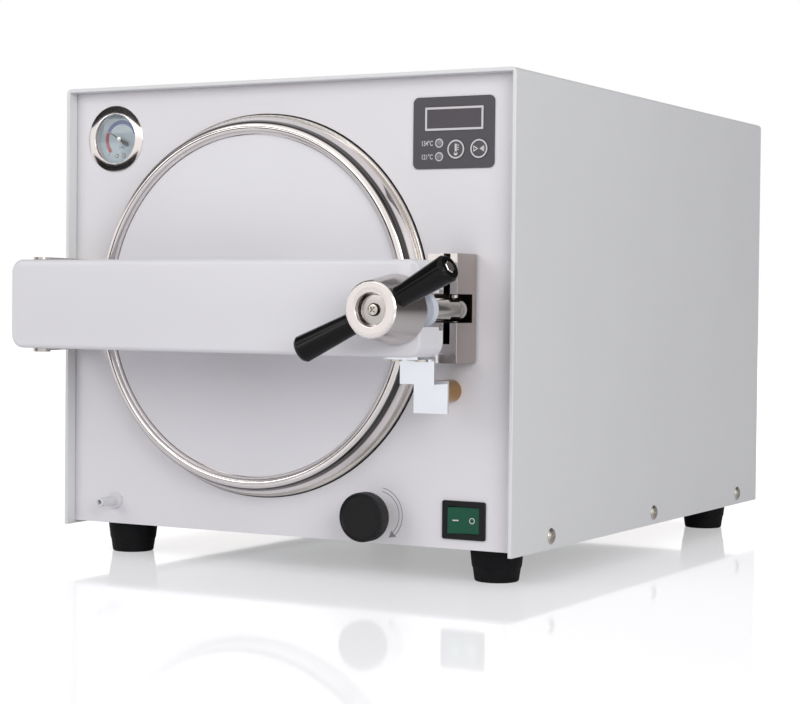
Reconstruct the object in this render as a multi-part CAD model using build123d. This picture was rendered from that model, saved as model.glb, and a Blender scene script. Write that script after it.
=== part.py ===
from build123d import *
import os
from math import cos, pi, sin, sqrt

# Bench-top steam steriliser with a round swing door, a clamping arm and a swing-bolt latch.
# Millimetres, +Z up. The door faces -Y. While the model is laid out, X is 0 on the casing's
# centre plane, Y is 0 at the cover's front edge and Z is 0 on the bench. At the end the whole
# model is moved so that the origin is the bottom centre of its bounding box.

# Casing
casing_depth = 536.0
sheet = 1.5
cover_edge_radius = 4.0
cover_hem_depth = 10.0
cover_lip_radius = 0.7
panel_setback = 11.0
panel_bottom_gap = 2.6
panel_flange = 12.0
rear_setback = 12.0
base_flange = 17.0
sheet_gap = 0.3

# Feet
foot_height = 24.0
foot_top_radius = 21.0
foot_waist_radius = 19.0
foot_lower_radius = 18.3
foot_bottom_radius = 16.8
foot_seam_height = 10.0
foot_inset_x = 35.0
foot_inset_y = 48.0
foot_screw_hole_radius = 2.5
foot_recess_radius = 8.0
foot_recess_depth = 9.0

# Cover screws
cover_screw_radius = 2.0
cover_screw_length = 9.0
cover_screw_head_radius = 4.2
cover_cup_radius = 6.2
cover_cup_height = 1.4
cover_screw_rise = 10.0
cover_screw_front = 69.0
cover_screw_rear_inset = 54.0
cover_screws_per_side = 3
cross_slot_length = 4.6
cross_slot_width = 1.0
cross_slot_depth = 1.0

# Door and chamber, all on one axis along Y, and the room that the casing leaves round the lid
door_offset_x = -20.0
lid_floor_room = 35.0
lid_head_room = 29.0
lid_bolt_room = 34.3
bolt_side_room = 43.7
chamber_radius = 125.0
chamber_wall = 2.0
chamber_length = 360.0
chamber_end_thickness = 4.0
flange_overhang = 24.5
flange_thickness = 8.0
flange_stand_out = 3.0
flange_panel_gap = 1.0
insulation_inner_gap = 3.0
insulation_thickness = 17.0
insulation_start = 20.0
heater_width = 60.0
heater_thickness = 2.5
heater_count = 2
saddle_width = 176.0
saddle_thickness = 4.0
saddle_count = 2
port_radius = 6.0
port_bore_radius = 2.0
port_length = 30.0
gauge_port_dx = -71.0
gauge_port_dz = 68.0
drain_port_dx = -41.0
drain_port_dz = -72.0
valve_port_dx = 49.0
valve_port_dz = -72.0
safety_port_dx = 0.0
safety_port_dz = 90.0

# Lid of the chamber
lid_overhang = 22.0
lid_gap = 0.3
lid_wall = 5.0
lid_plate_thickness = 5.5
lid_plate_front = 11.5
lid_flare = 3.5
bead_radius = 5.0
face_thickness = 1.5
gasket_overhang = 1.5
gasket_width = 14.5
gasket_squeeze_gap = 0.2
spindle_radius = 18.0
spindle_flange_radius = 30.0
spindle_flange_thickness = 6.0
spindle_screw_pitch_radius = 24.0
spindle_screw_count = 4
door_screw_radius = 3.0
door_screw_head_radius = 5.0
door_screw_head_height = 3.2

# Clamping arm
arm_left_inset = 21.8
arm_right_inset = 26.4
arm_front = -96.0
arm_depth = 36.0
arm_height = 68.5
arm_corner_radius = 10.0
arm_edge_radius = 4.0
arm_wall = 5.0
arm_hinge_block = 36.0
arm_spindle_block = 52.0
arm_fork_block = 42.6
arm_cover_thickness = 2.0
fork_half_height = 12.0
fork_seat_half_height = 14.5
fork_seat_depth = 6.0

# Arm hinge
hinge_inset_x = 17.2
hinge_pin_radius = 4.0
hinge_head_radius = 6.6
hinge_head_height = 1.0
hinge_running_gap = 0.06
hinge_ear_thickness = 1.8
hinge_ear_gap = 0.3
hinge_ear_radius = 6.8
hinge_web_overhang = 17.8
hinge_web_width = 23.0
hinge_web_thickness = 3.0
hinge_web_reach = 26.0

# Keeper block and swing bolt
keeper_left_reach = 16.1
keeper_right_reach = 8.6
keeper_stand_out = 32.9
keeper_height = 80.3
keeper_slot_half_height = 10.4
keeper_slot_depth = 24.6
keeper_slot_side_gap = 1.3
keeper_groove_gap = 0.1
keeper_groove_floor = 14.1
keeper_rear_bevel = 2.0
bolt_radius = 8.0
bolt_drop = 0.9
bolt_eye_radius = 9.2
pivot_inset = 12.9
pivot_pin_radius = 2.5
pivot_pin_end_gap = 0.3
nylon_washer_radius = 13.4
nylon_washer_thickness = 8.6
nylon_washer_seat_gap = 0.8
nylon_washer_chamfer = 2.2
mounting_bolt_radius = 3.0
mounting_bolt_head_radius = 5.5
mounting_bolt_head_height = 4.0
mounting_bolt_depth = 14.0
keeper_bolt_spacing = 56.0
hinge_bolt_spacing = 44.0

# Clamping handle
thrust_gap = 0.3
thrust_ring_radius = 19.0
thrust_ring_thickness = 2.0
thrust_ring_proud = 0.7
thread_gap = 0.08
hub_front_radius = 20.0
hub_rear_radius = 25.0
hub_length = 36.4
hub_rim_chamfer = 1.0
hub_recess_radius = 11.75
hub_recess_depth = 12.5
retaining_washer_radius = 10.5
retaining_washer_thickness = 2.0
retaining_washer_depth = 5.7
retaining_screw_head_radius = 4.5
retaining_screw_head_height = 2.4
retaining_screw_radius = 2.5
retaining_screw_length = 10.0
handle_tilt = 26.5
handle_lean = 7.0
stud_set_back = 12.7
stud_radius = 4.0
stud_inner_reach = 13.5
grip_start = 19.8
grip_neck_length = 4.5
grip_end = 66.0
grip_narrow_radius = 7.9
grip_wide_radius = 9.8
grip_end_radius = 8.0
grip_chamfer_length = 2.5
grip_recess_radius = 5.6
grip_recess_depth = 1.6
grip_nut_radius = 4.6
grip_nut_height = 2.0

# Stepped door plate and the door sensor that it presses
plate_bolt_offset = 7.5
plate_width = 28.0
plate_thickness = 2.0
plate_grip_length = 17.0
plate_overhang = 8.0
plate_upper_drop = 18.2
plate_step = 21.0
plate_lower_drop = 24.0
plate_screw_spacing = 21.0
plate_screw_inset = 5.0
sensor_bolt_offset = 12.3
sensor_drop = 61.5
sensor_body_radius = 8.5
sensor_body_reach = 23.0
sensor_rim_chamfer = 1.0
sensor_thread_radius = 7.2
sensor_collar_depth = 7.0
sensor_rear_length = 22.0
sensor_nut_radius = 10.0
sensor_nut_thickness = 4.0
plunger_radius = 3.0
plunger_collar_radius = 4.5
plunger_travel = 3.0
plunger_gap = 0.3
plunger_running_gap = 0.06

# Pressure gauge
gauge_side_inset = 42.3
gauge_top_inset = 41.0
gauge_bezel_radius = 27.2
gauge_bezel_inner_radius = 20.1
gauge_bezel_height = 1.6
gauge_bezel_fall = 0.85
gauge_throat_wall = 1.9
gauge_case_radius = 24.0
gauge_case_wall = 1.2
gauge_case_depth = 26.0
gauge_dial_depth = 9.4
gauge_dial_thickness = 0.8
gauge_lens_thickness = 1.5
gauge_lens_inset = 1.2
gauge_needle_length = 15.5
gauge_needle_tail = 8.0
gauge_needle_width = 1.2
gauge_needle_thickness = 0.5
gauge_needle_clear = 2.1
gauge_hub_radius = 1.8
gauge_pin_radius = 0.6
gauge_needle_rest_angle = 150.0
gauge_stub_radius = 5.0
gauge_stub_length = 12.0

# Control film, display, lamps and buttons
film_side_inset = 22.2
film_width = 68.0
film_top_inset = 18.6
film_height = 53.5
film_thickness = 1.0
film_corner_radius = 4.5
window_dx = 34.7
window_dz = 37.1
window_width = 49.3
window_height = 18.0
window_proud = 0.5
lamp_dx = 22.1
lamp_upper_dz = 19.1
lamp_spacing = 10.1
lamp_radius = 2.5
lamp_proud = 0.8
button_dz = 14.2
temperature_button_dx = 36.3
start_button_dx = 55.5
button_radius = 7.4
button_gap = 0.15
button_proud = 0.5
button_travel = 0.6
button_flange_radius = 8.4
button_flange_thickness = 1.0
board_thickness = 1.6
board_stand_off = 9.0
board_margin = 3.0
board_post_radius = 2.5
module_depth = 5.0

# Mains switch
switch_side_inset = 44.1
switch_rise = 24.4
switch_bezel_width = 36.0
switch_bezel_height = 28.8
switch_bezel_thickness = 2.0
switch_body_width = 31.0
switch_body_height = 24.2
switch_body_depth = 26.0
switch_opening_width = 26.4
switch_opening_height = 20.2
switch_opening_depth = 13.0
rocker_length = 24.6
rocker_height = 19.6
rocker_valley = 2.6
rocker_depth = 6.0
rocker_axis_depth = 3.0
rocker_throw = 20.0
rocker_pin_radius = 1.5
rocker_pin_length = 1.5
rocker_pin_gap = 0.06

# Steam valve and drain nozzle
valve_side_inset = 117.5
valve_rise = 24.5
knob_front = -17.0
knob_thickness = 13.0
knob_radius = 18.9
knob_face_radius = 16.8
knob_dish_depth = 1.5
knob_edge_radius = 1.2
knob_flute_radius = 0.9
knob_flute_count = 40
knob_bore_depth = 8.0
valve_stem_radius = 3.5
valve_stem_gap = 0.06
valve_nut_radius = 9.0
valve_nut_thickness = 3.0
valve_body_length = 36.0
valve_body_size = 22.0
valve_stem_depth = 18.0
nozzle_side_inset = 44.4
nozzle_rise = 21.3
nozzle_base_radius = 6.6
nozzle_base_thickness = 3.0
nozzle_radius = 3.65
nozzle_bore_radius = 2.0
nozzle_length = 22.4
nozzle_thread_radius = 5.0
nozzle_rear_length = 18.0

# Copper tubes
tube_radius = 3.0
tube_bore_radius = 2.0
tube_bend_radius = 13.0
tube_turn_clear = 30.0

# Tray rack and trays
rack_side_room = 30.5
rack_sheet = 1.5
rack_wall_gap = 0.3
rack_front_inset = 14.0
rack_rear_room = 22.0
rack_rail_width = 8.0
rack_rod_radius = 2.5
rack_levels = 3
rack_top_margin = 24.0
tray_side_room = 9.0
tray_end_room = 20.0
tray_height = 15.0
tray_sheet = 1.0

# Rear fittings
inlet_side_inset = 55.0
inlet_rise = 60.0
inlet_width = 30.0
inlet_height = 24.0
inlet_flange_width = 50.0
inlet_flange_height = 28.0
inlet_flange_thickness = 3.0
inlet_depth = 24.0
inlet_cavity_width = 24.5
inlet_cavity_height = 16.8
inlet_cavity_depth = 16.0
inlet_blade_width = 2.0
inlet_blade_height = 4.0
inlet_blade_pitch = 7.0
inlet_blade_rise = 2.0
inlet_screw_radius = 1.7
fuse_inlet_spacing = 45.0
fuse_radius = 6.2
fuse_flange_radius = 8.0
fuse_flange_height = 2.5
fuse_cap_radius = 6.0
fuse_cap_height = 8.0
fuse_depth = 30.0
safety_stand_out = 30.0
safety_pipe_radius = 5.0
safety_hex_radius = 11.0
safety_hex_length = 14.0
safety_bonnet_radius = 8.0
safety_eye_radius = 1.3
ring_radius = 9.0
ring_wire_radius = 1.0
vent_slot_length = 70.0
vent_slot_height = 4.0
vent_pitch = 12.0
vent_count = 7
vent_top_inset = 108.0
vent_side_inset = 75.0
transformer_side_inset = 45.0
transformer_rear_inset = 236.0
transformer_width = 48.0
transformer_length = 66.0
transformer_height = 55.0
transformer_coil_length = 84.0
transformer_coil_width = 34.0
transformer_coil_height = 33.0
fit_gap = 0.1

# Sizes and places that follow from the sizes above
flange_radius = chamber_radius + flange_overhang
lid_radius = chamber_radius + lid_overhang
lid_shoulder_radius = lid_radius - lid_flare
gasket_inner_radius = chamber_radius + gasket_overhang
gasket_outer_radius = gasket_inner_radius + gasket_width
rack_half_width = chamber_radius - rack_side_room
rack_length = chamber_length - chamber_end_thickness - rack_front_inset - rack_rear_room
tray_width = 2 * rack_half_width - tray_side_room
tray_length = rack_length - tray_end_room
bottom = foot_height
axis_x = door_offset_x
axis_z = bottom + lid_floor_room + lid_radius
bolt_x = axis_x + lid_radius + lid_bolt_room
bolt_z = axis_z - bolt_drop
top = axis_z + lid_radius + lid_head_room
half_width = bolt_x + bolt_side_room
panel_front = panel_setback
panel_back = panel_front + sheet
rear_front = casing_depth - rear_setback - sheet
rear_back = casing_depth - rear_setback
inner_half = half_width - sheet - sheet_gap
panel_bottom = bottom + panel_bottom_gap
base_under = panel_bottom + sheet + sheet_gap
base_top = base_under + sheet
panel_top = top - sheet - sheet_gap
flange_front = panel_front - flange_stand_out
lid_rear = flange_front - lid_gap
lid_plate_face = flange_front - lid_plate_front
lid_plate_back = lid_plate_face + lid_plate_thickness
face_front = lid_plate_face - face_thickness
chamber_end = flange_front + chamber_length
arm_rear = arm_front + arm_depth
arm_right = half_width - arm_right_inset
arm_left = arm_left_inset - half_width
hinge_x = arm_left + hinge_inset_x
hinge_y = arm_front + arm_depth / 2
keeper_front = panel_front - keeper_stand_out
pivot_y = keeper_front + pivot_inset
thrust_rear = arm_front - thrust_gap
hub_rear = thrust_rear - thrust_ring_proud
hub_front = hub_rear - hub_length
washer_front = hub_front + retaining_washer_depth
bolt_front = washer_front + retaining_washer_thickness
stud_y = hub_front + stud_set_back
hinge_web_left = arm_left - hinge_web_overhang
hinge_web_right = hinge_web_left + hinge_web_width
plate_x = bolt_x - plate_bolt_offset
sensor_x = bolt_x - sensor_bolt_offset
sensor_z = axis_z - sensor_drop
gauge_x = gauge_side_inset - half_width
gauge_z = top - gauge_top_inset
film_left = half_width - film_side_inset - film_width
film_bottom = top - film_top_inset - film_height
switch_x = half_width - switch_side_inset
valve_x = half_width - valve_side_inset
nozzle_x = nozzle_side_inset - half_width
inlet_x = half_width - inlet_side_inset
fuse_x = inlet_x - fuse_inlet_spacing
vent_x = half_width - vent_side_inset
vent_z = top - vent_top_inset
transformer_x = half_width - transformer_side_inset
transformer_y = casing_depth - transformer_rear_inset


def box(x0, x1, y0, y1, z0, z1):
    """A block between two corners."""
    middle = Pos((x0 + x1) / 2, (y0 + y1) / 2, (z0 + z1) / 2)
    return middle * Box(x1 - x0, y1 - y0, z1 - z0)


def rod_y(radius, y0, y1, x, z):
    """A round bar along Y."""
    return Pos(x, (y0 + y1) / 2, z) * Rot(90, 0, 0) * Cylinder(radius, y1 - y0)


def rod_z(radius, z0, z1, x, y):
    """A round bar along Z."""
    return Pos(x, y, (z0 + z1) / 2) * Cylinder(radius, z1 - z0)


def rod_x(radius, x0, x1, y, z):
    """A round bar along X."""
    return Pos((x0 + x1) / 2, y, z) * Rot(0, 90, 0) * Cylinder(radius, x1 - x0)


def ring_y(outer, inner, y0, y1, x, z):
    """A flat or long ring round an axis along Y."""
    return rod_y(outer, y0, y1, x, z) - rod_y(inner, y0, y1, x, z)


def plate_xz(width, height, radius, y0, y1, x, z):
    """A plate with rounded corners, square to Y."""
    outline = Plane.XZ * RectangleRounded(width, height, radius)
    return Pos(x, y1, z) * extrude(outline, y1 - y0)


def cross_slot(radius_scale, depth):
    """The cutter of a cross recess on +Z, its floor at depth below Z = 0."""
    length = cross_slot_length * radius_scale
    blade = Pos(0, 0, -depth / 2) * Box(length, cross_slot_width, depth)
    return blade + Rot(0, 0, 90) * blade


def solids_group(items):
    """Several separate solids kept together as one node."""
    return Compound(list(items))


def outer_cover():
    """U-shaped cover: two walls and a top in one bent sheet, hemmed along the front."""
    shell = box(-half_width, half_width, 0, casing_depth, bottom, top)
    long_edges = shell.edges().filter_by(Axis.Y).group_by(Axis.Z)[-1]
    shell = fillet(long_edges, cover_edge_radius)
    inside = box(-half_width + sheet, half_width - sheet, cover_hem_depth, casing_depth,
                 bottom - sheet, top - sheet)
    hem = 2 * sheet
    mouth = box(-half_width + hem, half_width - hem, -sheet, cover_hem_depth,
                bottom - sheet, top - hem)
    cover = shell - inside - mouth
    lip = cover.faces().sort_by(Axis.Y)[0]
    cover = fillet(lip.edges(), cover_lip_radius)
    for x, y, z, side in cover_screw_places():
        cover -= rod_x(cover_screw_radius + fit_gap, x - 2 * sheet, x + 2 * sheet, y, z)
    return cover


def cover_screw_places():
    """Places of the screws along the lower edge of each cover wall."""
    run = casing_depth - cover_screw_rear_inset - cover_screw_front
    pitch = run / (cover_screws_per_side - 1)
    places = []
    for side in (-1, 1):
        for index in range(cover_screws_per_side):
            y = cover_screw_front + index * pitch
            places.append((side * half_width, y, bottom + cover_screw_rise, side))
    return places


def cover_screws():
    """Cross-head screws, each sitting in a raised cup washer."""
    cup = Cylinder(cover_cup_radius, cover_cup_height)
    cup = Pos(0, 0, cover_cup_height / 2) * cup
    cup = chamfer(cup.edges().group_by(Axis.Z)[-1], cover_cup_height * 0.6)
    shank = Pos(0, 0, -cover_screw_length / 2) * Cylinder(cover_screw_radius, cover_screw_length)
    head = Pos(0, 0, cover_cup_height * 0.75) * Cylinder(cover_screw_head_radius, cover_cup_height * 1.5)
    screw = cup + shank + head
    screw -= Pos(0, 0, cover_cup_height * 1.5) * cross_slot(1.0, cross_slot_depth)
    screws = []
    for x, y, z, side in cover_screw_places():
        screws.append(Pos(x, y, z) * Rot(0, side * 90, 0) * screw)
    return solids_group(screws)


def front_panel():
    """Folded front sheet with a return flange all round and a hole for each fitting."""
    plate = box(-inner_half, inner_half, panel_front, panel_back, panel_bottom, panel_top)
    flange_back = panel_back + panel_flange
    rim = box(-inner_half, inner_half, panel_back, flange_back, panel_bottom, panel_top)
    rim -= box(-inner_half + sheet, inner_half - sheet, panel_back, flange_back,
               panel_bottom + sheet, panel_top - sheet)
    panel = plate + rim
    deep = panel_back + sheet
    shallow = panel_front - sheet
    panel -= rod_y(flange_radius + flange_panel_gap, shallow, deep, axis_x, axis_z)
    panel -= rod_y(gauge_case_radius + fit_gap, shallow, deep, gauge_x, gauge_z)
    panel -= rod_y(sensor_thread_radius + fit_gap, shallow, deep, sensor_x, sensor_z)
    panel -= rod_y(valve_stem_radius + sheet, shallow, deep, valve_x, bottom + valve_rise)
    panel -= rod_y(nozzle_thread_radius + fit_gap, shallow, deep, nozzle_x, bottom + nozzle_rise)
    half_body = switch_body_width / 2 + fit_gap
    half_body_z = switch_body_height / 2 + fit_gap
    switch_z = bottom + switch_rise
    panel -= box(switch_x - half_body, switch_x + half_body, shallow, deep,
                 switch_z - half_body_z, switch_z + half_body_z)
    panel -= panel_control_holes(shallow, deep)
    for x, z in mounting_bolt_places():
        panel -= rod_y(mounting_bolt_radius + fit_gap, shallow, deep, x, z)
    return panel


def film_x(dx):
    """X of a feature on the control film."""
    return film_left + dx


def film_z(dz):
    """Z of a feature on the control film."""
    return film_bottom + dz


def panel_control_holes(y0, y1):
    """Cutters for the window, the two lamps and the two buttons."""
    half_w = window_width / 2
    half_h = window_height / 2
    cutters = box(film_x(window_dx) - half_w + sheet, film_x(window_dx) + half_w - sheet, y0, y1,
                  film_z(window_dz) - half_h + sheet, film_z(window_dz) + half_h - sheet)
    for index in range(2):
        z = film_z(lamp_upper_dz) - index * lamp_spacing
        cutters += rod_y(lamp_radius + fit_gap, y0, y1, film_x(lamp_dx), z)
    for dx in (temperature_button_dx, start_button_dx):
        cutters += rod_y(button_flange_radius + button_gap, y0, y1, film_x(dx), film_z(button_dz))
    return cutters


def base_plate():
    """Bottom tray with raised side flanges that take the cover's screws."""
    y0 = panel_back + sheet_gap
    y1 = rear_front - sheet_gap
    half = inner_half - sheet - sheet_gap
    tray = box(-half, half, y0, y1, base_under, base_top)
    flange_y0 = y0 + panel_flange
    for side in (-1, 1):
        x_out = side * (half_width - sheet - sheet_gap)
        x_in = side * (half_width - 2 * sheet - sheet_gap)
        low, high = sorted((x_out, x_in))
        tray += box(low, high, flange_y0, y1, base_under, base_under + base_flange)
        low, high = sorted((side * (half - sheet), x_out))
        tray += box(low, high, flange_y0, y1, base_under, base_top)
    for x, y, z, side in cover_screw_places():
        tray -= rod_x(cover_screw_radius + fit_gap, x - 5 * sheet, x + 5 * sheet, y, z)
    for x, y in foot_places():
        tray -= rod_z(foot_screw_hole_radius, base_under - sheet, base_top + sheet, x, y)
    for y in saddle_places():
        tray -= box(axis_x - saddle_width / 4, axis_x + saddle_width / 4, y - saddle_thickness / 4,
                    y + saddle_thickness / 4, base_under, base_top)
    return tray


def rear_panel():
    """Back sheet with the mains inlet, the fuse, the safety valve and vent slots."""
    plate = box(-inner_half, inner_half, rear_front, rear_back, base_under, panel_top)
    y0 = rear_front - panel_flange
    rim = box(-inner_half, inner_half, y0, rear_front, base_top + base_flange, panel_top)
    rim -= box(-inner_half + sheet, inner_half - sheet, y0, rear_front,
               base_top + base_flange, panel_top - sheet)
    panel = plate + rim
    a = rear_front - sheet
    b = rear_back + sheet
    half_w = inlet_width / 2 + fit_gap
    half_h = inlet_height / 2 + fit_gap
    z = bottom + inlet_rise
    panel -= box(inlet_x - half_w, inlet_x + half_w, a, b, z - half_h, z + half_h)
    panel -= rod_y(fuse_radius + fit_gap, a, b, fuse_x, z)
    sx, sz = port_place(safety_port_dx, safety_port_dz)
    panel -= rod_y(safety_pipe_radius + sheet, a, b, sx, sz)
    for index in range(vent_count):
        slot_z = vent_z + index * vent_pitch
        for side in (-1, 1):
            slot = plate_xz(vent_slot_length, vent_slot_height, vent_slot_height * 0.45, a, b,
                            side * vent_x, slot_z)
            panel -= slot
    return panel


def foot_places():
    """Centres of the four feet."""
    xs = (-half_width + foot_inset_x, half_width - foot_inset_x)
    ys = (foot_inset_y, casing_depth - foot_inset_y)
    return [(x, y) for x in xs for y in ys]


def feet():
    """Moulded rubber feet in two tiers, each with a recess for its screw."""
    outline = Polyline((0, 0), (foot_bottom_radius, 0), (foot_lower_radius, foot_seam_height),
                       (foot_waist_radius, foot_seam_height + sheet), (foot_top_radius, base_under),
                       (0, base_under), close=True)
    foot = revolve(Plane.XZ * make_face(outline), Axis.Z)
    foot = fillet(foot.edges().group_by(Axis.Z)[0], sheet)
    foot -= rod_z(foot_recess_radius, 0, foot_recess_depth, 0, 0)
    foot -= rod_z(foot_screw_hole_radius, 0, base_under, 0, 0)
    return solids_group([Pos(x, y, 0) * foot for x, y in foot_places()])


def port_place(dx, dz):
    """X and Z of a pipe port on the chamber's end wall."""
    return axis_x + dx, axis_z + dz


def port_places():
    """The four ports: gauge, drain, valve and safety valve."""
    return [port_place(gauge_port_dx, gauge_port_dz), port_place(drain_port_dx, drain_port_dz),
            port_place(valve_port_dx, valve_port_dz), port_place(safety_port_dx, safety_port_dz)]


def chamber_shell():
    """Pressure vessel, open at the front, with pipe ports welded into its end wall."""
    outer = chamber_radius + chamber_wall
    shell = rod_y(outer, flange_front, chamber_end, axis_x, axis_z)
    shell -= rod_y(chamber_radius, flange_front, chamber_end - chamber_end_thickness, axis_x, axis_z)
    for x, z in port_places():
        shell += rod_y(port_radius, chamber_end, chamber_end + port_length, x, z)
    for x, z in port_places():
        shell -= rod_y(port_bore_radius, chamber_end - 2 * chamber_end_thickness,
                       chamber_end + port_length, x, z)
    return shell


def chamber_flange():
    """Thick flat ring round the chamber's mouth, the seat of the door gasket."""
    outer = chamber_radius + chamber_wall
    ring = ring_y(flange_radius, outer, flange_front, flange_front + flange_thickness, axis_x, axis_z)
    rim = ring.edges().filter_by(GeomType.CIRCLE).group_by(SortBy.RADIUS)[-1]
    return chamfer(rim, sheet / 2)


def insulation_radius():
    """Outer radius of the insulation."""
    return chamber_radius + chamber_wall + insulation_inner_gap + insulation_thickness


def insulation_jacket():
    """Mineral wool jacket round the chamber and behind its end wall."""
    inner = chamber_radius + chamber_wall + insulation_inner_gap
    end = chamber_end + insulation_thickness
    jacket = rod_y(insulation_radius(), insulation_start, end, axis_x, axis_z)
    jacket -= rod_y(inner, insulation_start, chamber_end + sheet_gap, axis_x, axis_z)
    for x, z in port_places():
        jacket -= rod_y(port_radius + fit_gap, chamber_end, end, x, z)
    return jacket


def band_heaters():
    """Flat heating bands clamped round the chamber."""
    inner = chamber_radius + chamber_wall
    free = chamber_length - insulation_start - heater_count * heater_width
    step = free / (heater_count + 1)
    bands = []
    for index in range(heater_count):
        y = insulation_start + step + index * (heater_width + step)
        bands.append(ring_y(inner + heater_thickness, inner, y, y + heater_width, axis_x, axis_z))
    return solids_group(bands)


def saddle_places():
    """Y of each saddle plate."""
    free = chamber_length / (saddle_count + 1)
    return [flange_front + free * (index + 1) for index in range(saddle_count)]


def chamber_saddles():
    """Upright plates, hollowed to the jacket, that carry the chamber on the base."""
    saddles = []
    half = saddle_width / 2
    for y in saddle_places():
        y0 = y - saddle_thickness / 2
        y1 = y + saddle_thickness / 2
        saddle = box(axis_x - half, axis_x + half, y0, y1, base_top, axis_z)
        saddle -= rod_y(insulation_radius() + sheet_gap, y0, y1, axis_x, axis_z)
        saddle += box(axis_x - saddle_width / 4, axis_x + saddle_width / 4,
                      y - saddle_thickness / 4, y + saddle_thickness / 4, base_under, base_top)
        saddles.append(saddle)
    return solids_group(saddles)


def rack_bottom():
    """Lowest line of the rack's sides, just clear of the chamber's wall."""
    reach = chamber_radius - rack_wall_gap
    return axis_z - sqrt(reach * reach - rack_half_width * rack_half_width)


def rack_top():
    """Top line of the rack's sides."""
    return axis_z + (axis_z - rack_bottom()) - rack_top_margin


def rail_heights():
    """Z of the top of each pair of rails."""
    low = rack_bottom() + 2 * rack_rod_radius
    pitch = (rack_top() - low) / rack_levels
    return [low + pitch * index + rack_sheet for index in range(rack_levels)]


def tray_rack():
    """Tray carrier: two upright side sheets with inward rails, tied by cross rods."""
    y0 = flange_front + rack_front_inset
    y1 = y0 + rack_length
    inner = rack_half_width - rack_sheet
    rack = None
    for side in (-1, 1):
        low, high = sorted((side * inner, side * rack_half_width))
        wall = box(axis_x + low, axis_x + high, y0, y1, rack_bottom(), rack_top())
        for rail_top in rail_heights():
            low, high = sorted((side * inner, side * (inner - rack_rail_width)))
            wall += box(axis_x + low, axis_x + high, y0, y1, rail_top - rack_sheet, rail_top)
        rack = wall if rack is None else rack + wall
    rod_z_place = rack_bottom() + rack_rod_radius
    for y in (y0 + 2 * rack_rod_radius, (y0 + y1) / 2, y1 - 2 * rack_rod_radius):
        rack += rod_x(rack_rod_radius, axis_x - inner, axis_x + inner, y, rod_z_place)
    return rack


def trays():
    """Three instrument trays with low walls."""
    y0 = flange_front + rack_front_inset + (rack_length - tray_length) / 2
    y1 = y0 + tray_length
    half = tray_width / 2
    pans = []
    for z in rail_heights():
        pan = box(axis_x - half, axis_x + half, y0, y1, z, z + tray_height)
        pan -= box(axis_x - half + tray_sheet, axis_x + half - tray_sheet,
                   y0 + tray_sheet, y1 - tray_sheet, z + tray_sheet, z + tray_height)
        pans.append(pan)
    return solids_group(pans)


def turned(outline, x, z):
    """Turn a closed outline, drawn as radius and Y, about an axis along Y."""
    return Pos(x, 0, z) * revolve(make_face(outline), Axis.Y)


def door_lid():
    """Spun steel lid: rounded bead at the front, side wall, thick plate behind the face."""
    bead_centre = lid_shoulder_radius - bead_radius
    bead_inner = bead_centre - bead_radius
    bead_y = lid_plate_face - bead_radius / 5
    shoulder = Line((lid_shoulder_radius, bead_y), (lid_shoulder_radius, lid_plate_face))
    flare = Line((lid_shoulder_radius, lid_plate_face), (lid_radius, lid_rear - lid_wall))
    back = Polyline((lid_radius, lid_rear - lid_wall), (lid_radius, lid_rear),
                    (lid_radius - lid_wall, lid_rear), (lid_radius - lid_wall, lid_plate_back),
                    (0, lid_plate_back), (0, lid_plate_face), (bead_inner, lid_plate_face),
                    (bead_inner, bead_y))
    bead = ThreePointArc((bead_inner, bead_y), (bead_centre, bead_y - bead_radius),
                         (lid_shoulder_radius, bead_y))
    return turned(bead + shoulder + flare + back, axis_x, axis_z)


def door_face():
    """Painted disc inside the bead."""
    radius = lid_shoulder_radius - 2 * bead_radius - sheet_gap
    disc = rod_y(radius, face_front, lid_plate_face, axis_x, axis_z)
    for x, z in spindle_screw_places():
        disc -= rod_y(door_screw_radius + fit_gap, face_front, lid_plate_face, x, z)
    return disc


def door_gasket():
    """Silicone ring with a lip, held in the lid's rim and pressed on the flange."""
    y1 = flange_front - gasket_squeeze_gap
    return ring_y(gasket_outer_radius, gasket_inner_radius, lid_plate_back, y1, axis_x, axis_z)


def spindle_screw_places():
    """Places of the screws through the spindle's flange."""
    places = []
    for index in range(spindle_screw_count):
        angle = 2 * pi * (index + 0.5) / spindle_screw_count
        x = axis_x + spindle_screw_pitch_radius * cos(angle)
        places.append((x, axis_z + spindle_screw_pitch_radius * sin(angle)))
    return places


def door_spindle():
    """Flanged post that carries the lid on the arm."""
    flange_y = face_front - spindle_flange_thickness
    post = rod_y(spindle_radius, arm_rear, flange_y, axis_x, axis_z)
    flange = rod_y(spindle_flange_radius, flange_y, face_front, axis_x, axis_z)
    spindle = post + flange
    for x, z in spindle_screw_places():
        spindle -= rod_y(door_screw_radius + fit_gap, flange_y, face_front, x, z)
    return spindle


def door_screws():
    """Screws of the spindle's flange and of the stepped plate."""
    flange_y = face_front - spindle_flange_thickness
    screws = []
    for x, z in spindle_screw_places():
        shank = rod_y(door_screw_radius, flange_y, lid_plate_face, x, z)
        head = rod_y(door_screw_head_radius, flange_y - door_screw_head_height, flange_y, x, z)
        head_front = flange_y - door_screw_head_height
        slot = Pos(x, head_front, z) * Rot(90, 0, 0) * cross_slot(1.2, cross_slot_depth)
        screws.append(shank + head - slot)
    plate_under = arm_bottom() - plate_thickness
    for x, y in plate_screw_places():
        head = rod_z(door_screw_head_radius, plate_under - door_screw_head_height / 2, plate_under, x, y)
        shank = rod_z(door_screw_radius, plate_under, arm_bottom() + arm_wall / 2, x, y)
        slot = Pos(x, y, plate_under - door_screw_head_height / 2) * Rot(180, 0, 0)
        slot = slot * cross_slot(1.2, cross_slot_depth / 2)
        screws.append(shank + head - slot)
    return solids_group(screws)


def arm_bottom():
    """Underside of the clamping arm."""
    return axis_z - arm_height / 2


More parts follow.
